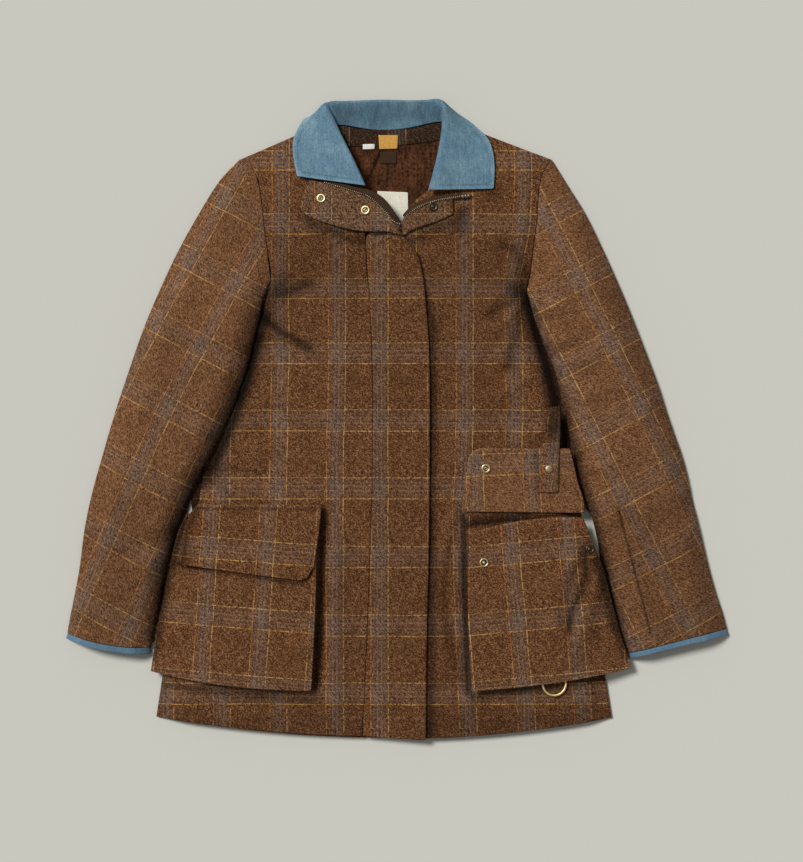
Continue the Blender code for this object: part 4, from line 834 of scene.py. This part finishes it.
# sleeve strokes are painted shade along the inner edges and lower sleeves, and a painted highlight where the amount is
# negative
sleeves = {
    "sleeve_right_under": {
        **hidden, "uvOf": rightSleeveCheck, "grow": innerRight,
        "creases": [
            (-196, 96, -256, 130, 10, 2.8), (-226, 20, -300, 44, 11, 2.6), (-256, -60, -340, -40, 12, 2.4),
            (-300, -120, -370, -110, 12, 2.2), (-320, -200, -390, -180, 12, 2.0)],
        "strokes": [([(-217, -5), (-262, -93), (-303, -238)], 12.0, 0.75)]},
    "sleeve_left_under": {
        **hidden, "uvOf": leftSleeveCheck, "grow": innerLeft,
        "creases": [
            (190, 90, 250, 124, 10, 2.8), (214, 10, 296, 40, 11, 2.6), (240, -70, 330, -44, 12, 2.4),
            (276, -140, 356, -120, 12, 2.2), (300, -220, 372, -196, 12, 2.0)],
        "strokes": [([(229, -56), (259, -153), (278, -236)], 12.0, 0.7)]},
    "sleeve_right_top": {
        "uvOf": rightSleeveCheck, "seed": 4.0, "finish": "sleeve",
        "creases": [
            (-180, 134, -222, 160, 8, 3.6), (-194, 88, -238, 122, 9, 3.6), (-214, 34, -266, 66, 10, 3.2),
            (-234, -18, -290, 10, 11, 3.0), (-252, -66, -318, -52, 12, 2.6), (-330, 20, -292, -26, 14, 1.8),
            (-370, -90, -320, -120, 14, -2.0), (-286, -150, -350, -176, 12, -2.2), (-396, -190, -350, -226, 12, 1.6)],
        "strokes": [
            ([(-166, 150), (-176, 118), (-190, 70), (-212, 16), (-236, -40), (-262, -92), (-283, -143)], 8.0, 0.6),
            ([(-283, -143), (-296, -190), (-312, -280)], 6.5, 0.72), ([(-350, -150), (-372, -262)], 60.0, 0.14),
            ([(-190, 190), (-232, 130)], 40.0, -0.12), ([(-296, 112), (-318, 74)], 30.0, 0.07)]},
    "sleeve_left_top": {
        "uvOf": leftSleeveCheck, "seed": 5.0, "finish": "sleeve",
        "creases": [
            (176, 128, 212, 146, 7, 3.8), (184, 96, 226, 108, 8, 3.8), (194, 68, 242, 76, 9, 3.2),
            (214, 16, 266, 40, 10, 3.0), (234, -60, 304, -40, 12, 2.6), (330, 30, 296, -20, 14, 1.8),
            (256, -150, 318, -140, 12, -2.2), (284, -130, 322, -272, 4, -2.4), (384, -100, 340, -140, 14, -2.0)],
        "strokes": [
            ([(170, 140), (180, 104), (196, 60), (214, 10), (228, -50)], 8.0, 0.6),
            ([(228, -50), (252, -130), (276, -230), (292, -296)], 6.5, 0.62),
            ([(280, -112), (300, -190), (322, -272)], 1.3, 0.7), ([(310, -150), (366, -268)], 64.0, 0.18)]},
}
# pocket and strap strokes are painted shade and shadow: under the flaps, in the bags' folds, in the gaps beside the
# bags and on the strap's top
pockets = {
    "pocket_right_bag": {
        **bag, "uvOf": rightPocketCheck, "seed": 6.0,
        "creases": [
            (-280, -190, -230, -206, 13, -1.8), (-130, -240, -180, -262, 15, 1.8), (-300, -300, -240, -288, 14, -1.8)],
        "strokes": [
            ([(-280, -184.5), (-268, -187), (-200, -196), (-122, -209), (-106, -192)], 3.6, 0.6),
            ([(-268, -128), (-284, -166), (-296, -215), (-313, -302)], 8.0, 0.8)]},
    "pocket_left_bag": {
        **bag, "uvOf": leftPocketCheck, "seed": 7.0, "grow": openMouth,
        "creases": [
            (243, -166, 218, -266, 7, -4.2), (262, -190, 238, -266, 9, 4.8), (226, -150, 200, -214, 10, 2.6),
            (282, -262, 240, -312, 11, -2.4), (120, -220, 170, -236, 16, 1.6)],
        "strokes": [
            ([(240, -166), (238, -198), (232, -222), (221, -242), (218, -268)], 6.0, 0.7),
            ([(254, -180), (264, -210), (270, -240), (280, -270)], 9.0, 0.5),
            ([(248, -150), (272, -240), (292, -300)], 7.0, 0.55)]},
    "pocket_right_flap": {
        **flap, "uvOf": rightPocketCheck, "seed": 8.0, "corner": 16.0,
        "creases": [(-250, -150, -190, -140, 13, -1.2), (-160, -160, -115, -180, 12, 1.0)],
        "strokes": [
            ([(-252, -113.5), (-98, -113.5)], 2.2, 0.4),
            ([(-256, -116), (-264, -130), (-269, -150), (-272, -182)], 7.0, 0.6)]},
    "pocket_left_flap": {
        **flap, "uvOf": turnedCheck(2, 96.0, 2, -62.0), "seed": 9.0, "corner": 22.0, "finish": "sleeve",
        "creases": [(130, -90, 180, -84, 13, -1.2)],
        "strokes": [([(176, -10), (178, -96)], 5.0, 0.35)]},
    "pocket_strap": {
        "wall": 2.6, "step": 4, "uvOf": turnedCheck(-6, 201.0, 4, -58.0), "seed": 10.0, "wave": 0.3, "rim": 1.3,
        "edgeWear": 0.25,
        "strokes": [([(206, 20), (199, -8)], 20.0, 0.74), ([(196, -24), (191, -46)], 14.0, 0.14)]},
}
neckPieces = {
    "lining": {
        "uvOf": bodyCheck(0.0), "wall": 1.4, "step": 2.8, "wave": 0.7, "rim": 0.7,
        "finish": "lining", "slotName": "lining_cloth",
        "creases": [(-22, 342, -38, 306, 3, 1.2)],  # the pleat at the middle of the back
        # painted shade in the pleat and along the lining's top edge
        "strokes": [([(-22, 342), (-30, 322), (-38, 306)], 2.0, 0.75), ([(-60, 356), (0, 352), (46, 352)], 5.0, 0.3)]},
    "neck_facing": {
        "uvOf": bodyCheck(0.0), "wall": 0.9, "step": 4, "wave": 0.2, "rim": 0.7, "grow": upToStand,
        "finish": "facing", "slotName": "facing_cloth"},
    "inner_label": {**tab, "step": 3, "wave": 0.15, "finish": "label", "slotName": "label_cream"},
    "hanger_tab": {**tab, "step": 2.5, "wave": 0.1, "finish": "tab", "slotName": "tab_yellow"},
    "care_tag": {**tab, "step": 2.5, "wave": 0.1, "finish": "tag", "slotName": "tag_white"},
    "size_patch": {**tab, "step": 2.5, "wave": 0.1, "finish": "patch", "slotName": "patch_dark"},
}
for group in (coatBody, sleeves, pockets, neckPieces):
    for nodeName, values in group.items():
        clothPanel(nodeName, **values)
print("panels laid:", len(pieces))

# pieces with their folds in the solid already, so that they are only rounded
turned = {
    "fly_right": {
        "uvOf": bodyCheck(-22.5),
        # painted shade, broad along the fly and at the hem
        "strokes": [([(0, 190), (2, -300)], 60.0, 0.12), ([(0, -380), (40, -400)], 30.0, 0.12)]},
    "fly_left": {"uvOf": bodyCheck(-22.5), "finish": "inside"},
    "zip_right": {"finish": "tape", "slotName": "zip_tape"},
    "zip_left": {"finish": "tape", "slotName": "zip_tape"},
    "d_ring_loop": {"uvOf": bodyCheck(170.0)},
    "pocket_right_gusset": {"uvOf": rightPocketCheck},
    "pocket_left_gusset": {"uvOf": leftPocketCheck},
    "cuff_binding_right": {"finish": "binding", "slotName": "collar_cloth"},
    "cuff_binding_left": {"finish": "binding", "slotName": "collar_cloth"},
    "collar": {
        "finish": "collar", "slotName": "collar_cloth", "levels": 3,
        # paler worn edges along the fall, dark lines beside the topstitching, painted shade in the stand's creases and
        # across the back, and paler lines along the roll
        "strokes": [
            ([(-44, 297), (-90, 303.4), (-127, 308.5)], 1.8, -0.28),
            ([(-127, 308.5), (-132, 332), (-133, 356), (-123, 377.5), (-114, 384)], 1.8, -0.28),
            ([(44, 290.6), (80, 291.4), (122.5, 293)], 1.8, -0.28),
            ([(122.5, 293), (124, 325), (118, 355), (101, 372), (83, 385)], 1.8, -0.28),
            ([(-56, 303.6), (-90, 309), (-120.5, 313.6), (-125.4, 332), (-126.6, 352), (-120, 370)], 1.1, 0.16),
            ([(54, 296.6), (86, 297.4), (116.5, 299), (117.8, 323), (112, 350), (99, 366)], 1.1, 0.16),
            ([(-24, 400), (-27, 388), (-33, 374)], 2.6, 0.3), ([(28, 398), (30, 388), (37, 372)], 2.6, 0.26),
            ([(-60, 398), (-66, 380)], 4.0, 0.22), ([(5, 402), (2, 386)], 4.0, 0.12),
            ([(-76, 392), (-10, 390), (50, 392)], 15.0, 0.21), ([(-76, 394), (-66, 372)], 7.0, 0.2),
            ([(54, 392), (52, 370)], 7.0, 0.2), ([(-88, 396), (-72, 362), (-44, 300)], 3.5, -0.1),
            ([(58, 396), (58, 362), (44, 296)], 3.5, -0.12)]},
}
for nodeName, values in turned.items():
    roundedCopy(nodeName, **values)


def paintFaces(piece, finish, chosen):  # a second finish on the faces whose middle the rule takes
    mesh = piece.data
    mesh.materials.append(finishes[finish])
    middle = np.zeros(len(mesh.polygons) * 3)
    mesh.polygons.foreach_get("center", middle)
    taken = chosen(middle.reshape(-1, 3) / mm)
    mesh.polygons.foreach_set("material_index", np.where(taken, len(mesh.materials) - 1, 0))


def turnedBack(at):  # the fly's turned-back top, which reaches lower at its outer end
    return (at[:, 1] > 229) | ((at[:, 0] < -30) & (at[:, 1] > 216))


# the collar's stand is inside the line that the collar rolls over at
rollLine = np.array([
    (-42.5, 296), (-57.5, 329), (-74, 361), (-85, 384), (-91, 398), (-73, 402.5), (-46, 404), (-16, 405), (17, 404),
    (43, 404.5), (55.5, 402), (60.5, 388), (58.5, 362), (53, 332), (42, 290.5)], float)
paintFaces(pieces["fly_right_cloth"], "leaf", turnedBack)
# the stand's faces take the darker copy, as painted shade
paintFaces(pieces["collar_cloth"], "stand", lambda at: toOutline(at[:, :2], rollLine)[1])
print("turned pieces made")

# radius and height from the middle out, in millimetres; painted shade, in the snap's hole and grooves, between the two
# radii of each pair
snapShapes = {
    "socket": {
        "profile": [
            (0, 0.6), (0.9, 0.6), (1.2, 1.3), (1.6, 1.5), (2.0, 1.2), (2.2, 0.6), (2.9, 0.6), (3.2, 1.4), (4.0, 1.9),
            (5.2, 1.8), (5.8, 1.3), (6.0, 0.6), (6.0, -0.4)],
        "dark": [(0.0, 1.1), (1.9, 3.1)]},
    "stud": {
        "profile": [
            (0, 2.3), (1.1, 2.3), (1.7, 2.0), (1.9, 1.4), (1.7, 0.9), (3.6, 0.8), (4.0, 1.2), (4.8, 1.5), (5.5, 1.2),
            (5.8, 0.6), (5.8, -0.4)],
        "dark": [(1.75, 3.8)]},
    "cap": {
        "profile": [(0, 1.9), (1.6, 1.85), (3.2, 1.6), (4.4, 1.3), (5.0, 0.9), (5.3, 0.3), (5.3, -0.4)],
        "dark": []},
}
# the fly's left stud and the pocket's side stud take the dark brass whole, as painted shade
snaps = {
    "snap_fly_upper": ("socket", "brass"), "snap_fly_lower": ("socket", "brass"),
    "snap_fly_left": ("stud", "darkBrass"), "snap_pocket_flap": ("socket", "brass"),
    "snap_strap": ("cap", "dullBrass"), "snap_pocket_front": ("stud", "brass"),
    "snap_pocket_side": ("stud", "darkBrass"),
}


def turnSnap(nodeName, shapeName, finish, around=28):
    points = np.array(solidParts[nodeName][0])
    middle = points.mean(0)
    axis = np.linalg.svd(points - middle)[2][2]  # the flat way through the solid
    axis = Vector(axis if axis[2] > 0 else -axis)
    base = Vector(middle) + axis * min((Vector(p) - Vector(middle)).dot(axis) for p in points)
    turn = axis.to_track_quat("Z", "Y")
    angles = [2 * math.pi * i / around for i in range(around)]
    profile, dark = snapShapes[shapeName]["profile"], snapShapes[shapeName]["dark"]
    bm = bmesh.new()
    rings = []
    for radius, height in profile:
        spots = [(radius * mm * math.cos(a), radius * mm * math.sin(a)) for a in (angles if radius else [0.0])]
        rings.append([bm.verts.new(base + turn @ Vector((x, y, height * mm))) for x, y in spots])
    for k, (inner, outer) in enumerate(zip(rings[:-1], rings[1:])):
        between = (profile[k][0] + profile[k + 1][0]) / 2
        # faces between a pair of radii get painted shade
        inPaintedShade = any(low <= between <= high for low, high in dark)
        for i in range(around):
            j = (i + 1) % around
            near = inner if len(inner) == 1 else [inner[j], inner[i]]
            face = bm.faces.new([near[-1], outer[i], outer[j]] + near[:-1])
            face.material_index = int(inPaintedShade)
    bm.faces.new(rings[-1][::-1])
    bmesh.ops.recalc_face_normals(bm, faces=bm.faces)
    mesh = meshFrom(nodeName + "_press", bm)
    finishPiece(nodeName + "_press", mesh, [nodeName], finish)
    # the second material, painted shade in the hole and grooves
    mesh.materials.append(finishes["darkBrass"])


for nodeName, (shapeName, finish) in snaps.items():
    turnSnap(nodeName, shapeName, finish)
roundedCopy("d_ring", "ringBrass", "ring_brass", crease=0.0, label="_wire", swell=0.35)
print("metal made")


# a run of small solids along a curve: stitches, or the teeth of a zip
def makeRunTree(name, solidKind, solidSockets):
    tree = bpy.data.node_groups.new(name, "GeometryNodeTree")
    for label, kind in (("Path", "Geometry"), ("Pitch", "Float"), ("Long", "Float"), ("Wide", "Float"),
                        ("High", "Float"), ("Finish", "Material")):
        tree.interface.new_socket(label, in_out="INPUT", socket_type="NodeSocket" + kind)
    tree.interface.new_socket("Run", in_out="OUTPUT", socket_type="NodeSocketGeometry")
    given = tree.nodes.new("NodeGroupInput").outputs
    spaced = put("GeometryNodeResampleCurve", {"Curve": given["Path"], "Length": given["Pitch"]}, mode="LENGTH")
    size = put("ShaderNodeCombineXYZ", {0: given["Long"], 1: given["Wide"], 2: given["High"]})
    solid = put(solidKind, solidSockets, tree)
    sized = put("GeometryNodeTransform", {"Geometry": solid.outputs["Mesh"], "Scale": size.outputs[0]})
    tangent = put("GeometryNodeInputTangent", {}, tree)
    turn = put("FunctionNodeAlignRotationToVector", {"Vector": tangent.outputs[0]}, axis="X")
    placed = put("GeometryNodeInstanceOnPoints", {
        "Points": spaced.outputs["Curve"], "Instance": sized.outputs["Geometry"], "Rotation": turn.outputs["Rotation"]})
    real = put("GeometryNodeRealizeInstances", {"Geometry": placed.outputs["Instances"]})
    painted = put("GeometryNodeSetMaterial", {"Geometry": real.outputs["Geometry"], "Material": given["Finish"]})
    put("NodeGroupOutput", {"Run": painted.outputs["Geometry"]})
    return tree


threadRun = makeRunTree("threadRun", "GeometryNodeMeshUVSphere", {"Segments": 6, "Rings": 4, "Radius": 0.5})
toothRun = makeRunTree("toothRun", "GeometryNodeMeshCube", {})


def makeRun(name, tree, paths, sizes, finish):
    data = bpy.data.curves.new(name, "CURVE")
    data.dimensions = "3D"
    for points in paths:
        spline = data.splines.new("POLY")
        spline.points.add(len(points) - 1)
        for at, point in zip(spline.points, points):
            at.co = (*point, 1.0)
    run = newObject(name + "_path", data)
    modifier = run.modifiers.new("run", "NODES")
    modifier.node_group = tree
    keys = {item.name: item.identifier for item in tree.interface.items_tree if item.in_out == "INPUT"}
    for label, value in zip(("Pitch", "Long", "Wide", "High"), sizes):
        modifier[keys[label]] = value * mm
    modifier[keys["Finish"]] = finishes[finish]
    graph = bpy.context.evaluated_depsgraph_get()
    made = bpy.data.meshes.new_from_object(run.evaluated_get(graph))
    made.name = name
    made.materials.clear()
    bpy.data.objects.remove(run)
    finishPiece(name, made, [], finish)


def laidOn(pieceName, points, above=0.12, step=2.0):  # a plan line dropped onto a piece
    mesh = pieces[pieceName].data
    tree = BVHTree.FromPolygons([v.co for v in mesh.vertices], [f.vertices[:] for f in mesh.polygons])
    path = []
    for x, y in curveThrough(points, step):
        hit = tree.ray_cast((x * mm, y * mm, castFrom), (0, 0, -1))[0]
        if hit is not None:
            path.append((hit.x, hit.y, hit.z + above * mm))
    return path


# finish, slot, length and thickness of a stitch, and the lines on each piece
stitchLines = {
    "collar_stitches": ("blueThread", "collar_cloth", 2.6, 0.5, {
        "collar_cloth": [
            [(-60, 304.6), (-90, 309), (-120.5, 313.6)],
            [(-120.5, 313.6), (-125.4, 332), (-126.6, 352), (-120, 370)],
            [(54, 296.6), (86, 297.4), (116.5, 299)],
            [(116.5, 299), (117.8, 323), (112, 350), (99, 366)]],
    }),
    "flap_stitches": ("thread", "tweed", 2.6, 0.55, {
        "pocket_right_flap_cloth": [
            [(-254, -116), (-261, -128), (-265.5, -146), (-268, -164), (-268.5, -178.5)],
            [(-268.5, -179), (-200, -189), (-123.5, -199)],
            [(-115, -195.5), (-109.5, -184)],
            [(-109.5, -184), (-106.5, -170), (-103, -145), (-100.6, -122), (-100.2, -113)]],
        "pocket_left_flap_cloth": [
            [(91.4, -113), (91.4, -103), (93, -79), (95, -57)],
            [(98, -46.6), (106, -42), (160, -42.2), (176, -42.2)],
            [(211, -42.6), (216.5, -46), (224, -79), (231.4, -103), (233.4, -114)]],
        "pocket_strap_cloth": [
            [(191.5, -9), (187, -38), (184, -66), (182.2, -90)],
            [(202, -90.6), (203, -66), (204, -37), (205.4, -8)]],
    }),
    "bag_stitches": ("thread", "tweed", 2.6, 0.5, {
        "pocket_right_bag_cloth": [
            [(-105.4, -208), (-106.6, -250), (-109.4, -300), (-112.4, -339)],
            [(-112.4, -339), (-200, -330.4), (-308, -317)]],
        "pocket_left_bag_cloth": [
            [(93.8, -146), (93.6, -165), (92.6, -209), (93.2, -254), (95.4, -301), (98.8, -339.6)],
            [(98.8, -339.6), (200, -328), (294, -313.4)]],
    }),
    "placket_stitches": ("thread", "tweed", 2.8, 0.5, {
        "fly_right_cloth": [
            [(35.2, -404), (35.2, -352), (36, -262), (37.8, -195), (39, -128), (39.4, -66), (39.8, 24), (39.4, 80),
             (35, 140), (30, 185)],
            [(-114, 262), (-91, 254.4), (-66, 245.8), (-41, 241.4), (-26, 241.4)]],
    }),
}
stitchPitch = 1.25  # stitch lengths from one stitch to the next
for runName, (finish, slotName, long, thick, lines) in stitchLines.items():
    paths = [laidOn(pieceName, points) for pieceName, group in lines.items() for points in group]
    makeRun(runName, threadRun, paths, (long * stitchPitch, long, thick, thick), finish)
zipLines = {
    "zip_right_teeth": [
        (3.6, 246.6, 25.8), (-3.4, 249, 29.4), (-13.3, 261.3, 29.9), (-22.7, 270.4, 29.4), (-36.1, 281.6, 28.2),
        (-49.8, 286.6, 26), (-69.8, 293.5, 23), (-91, 299.9, 20.2)],
    "zip_left_teeth": [
        (11.4, 254.8, 22.6), (23.8, 265.3, 24.2), (42.5, 273.6, 23.8), (60, 278.1, 22), (72, 280.2, 20.8),
        (88, 282.7, 20.1)],
}
zipSizes = {"tooth": (2.5, 1.2, 3.4, 2.0), "stop": (3.4, 3.2, 4.4, 2.2)}  # pitch, long, wide, high
for runName, points in zipLines.items():
    onTape = [((x - 1.0) * mm, (y + 0.96) * mm, (z + 0.9) * mm) for x, y, z in points]
    makeRun(runName, toothRun, [curveThrough(onTape, 1.0 * mm)], zipSizes["tooth"], "teeth")
stopPath = [(83.6 * mm, 283.0 * mm, 21.6 * mm), (90.6 * mm, 284.0 * mm, 21.2 * mm)]
makeRun("zip_left_stop", toothRun, [stopPath], zipSizes["stop"], "teeth")
print("stitches and teeth made")
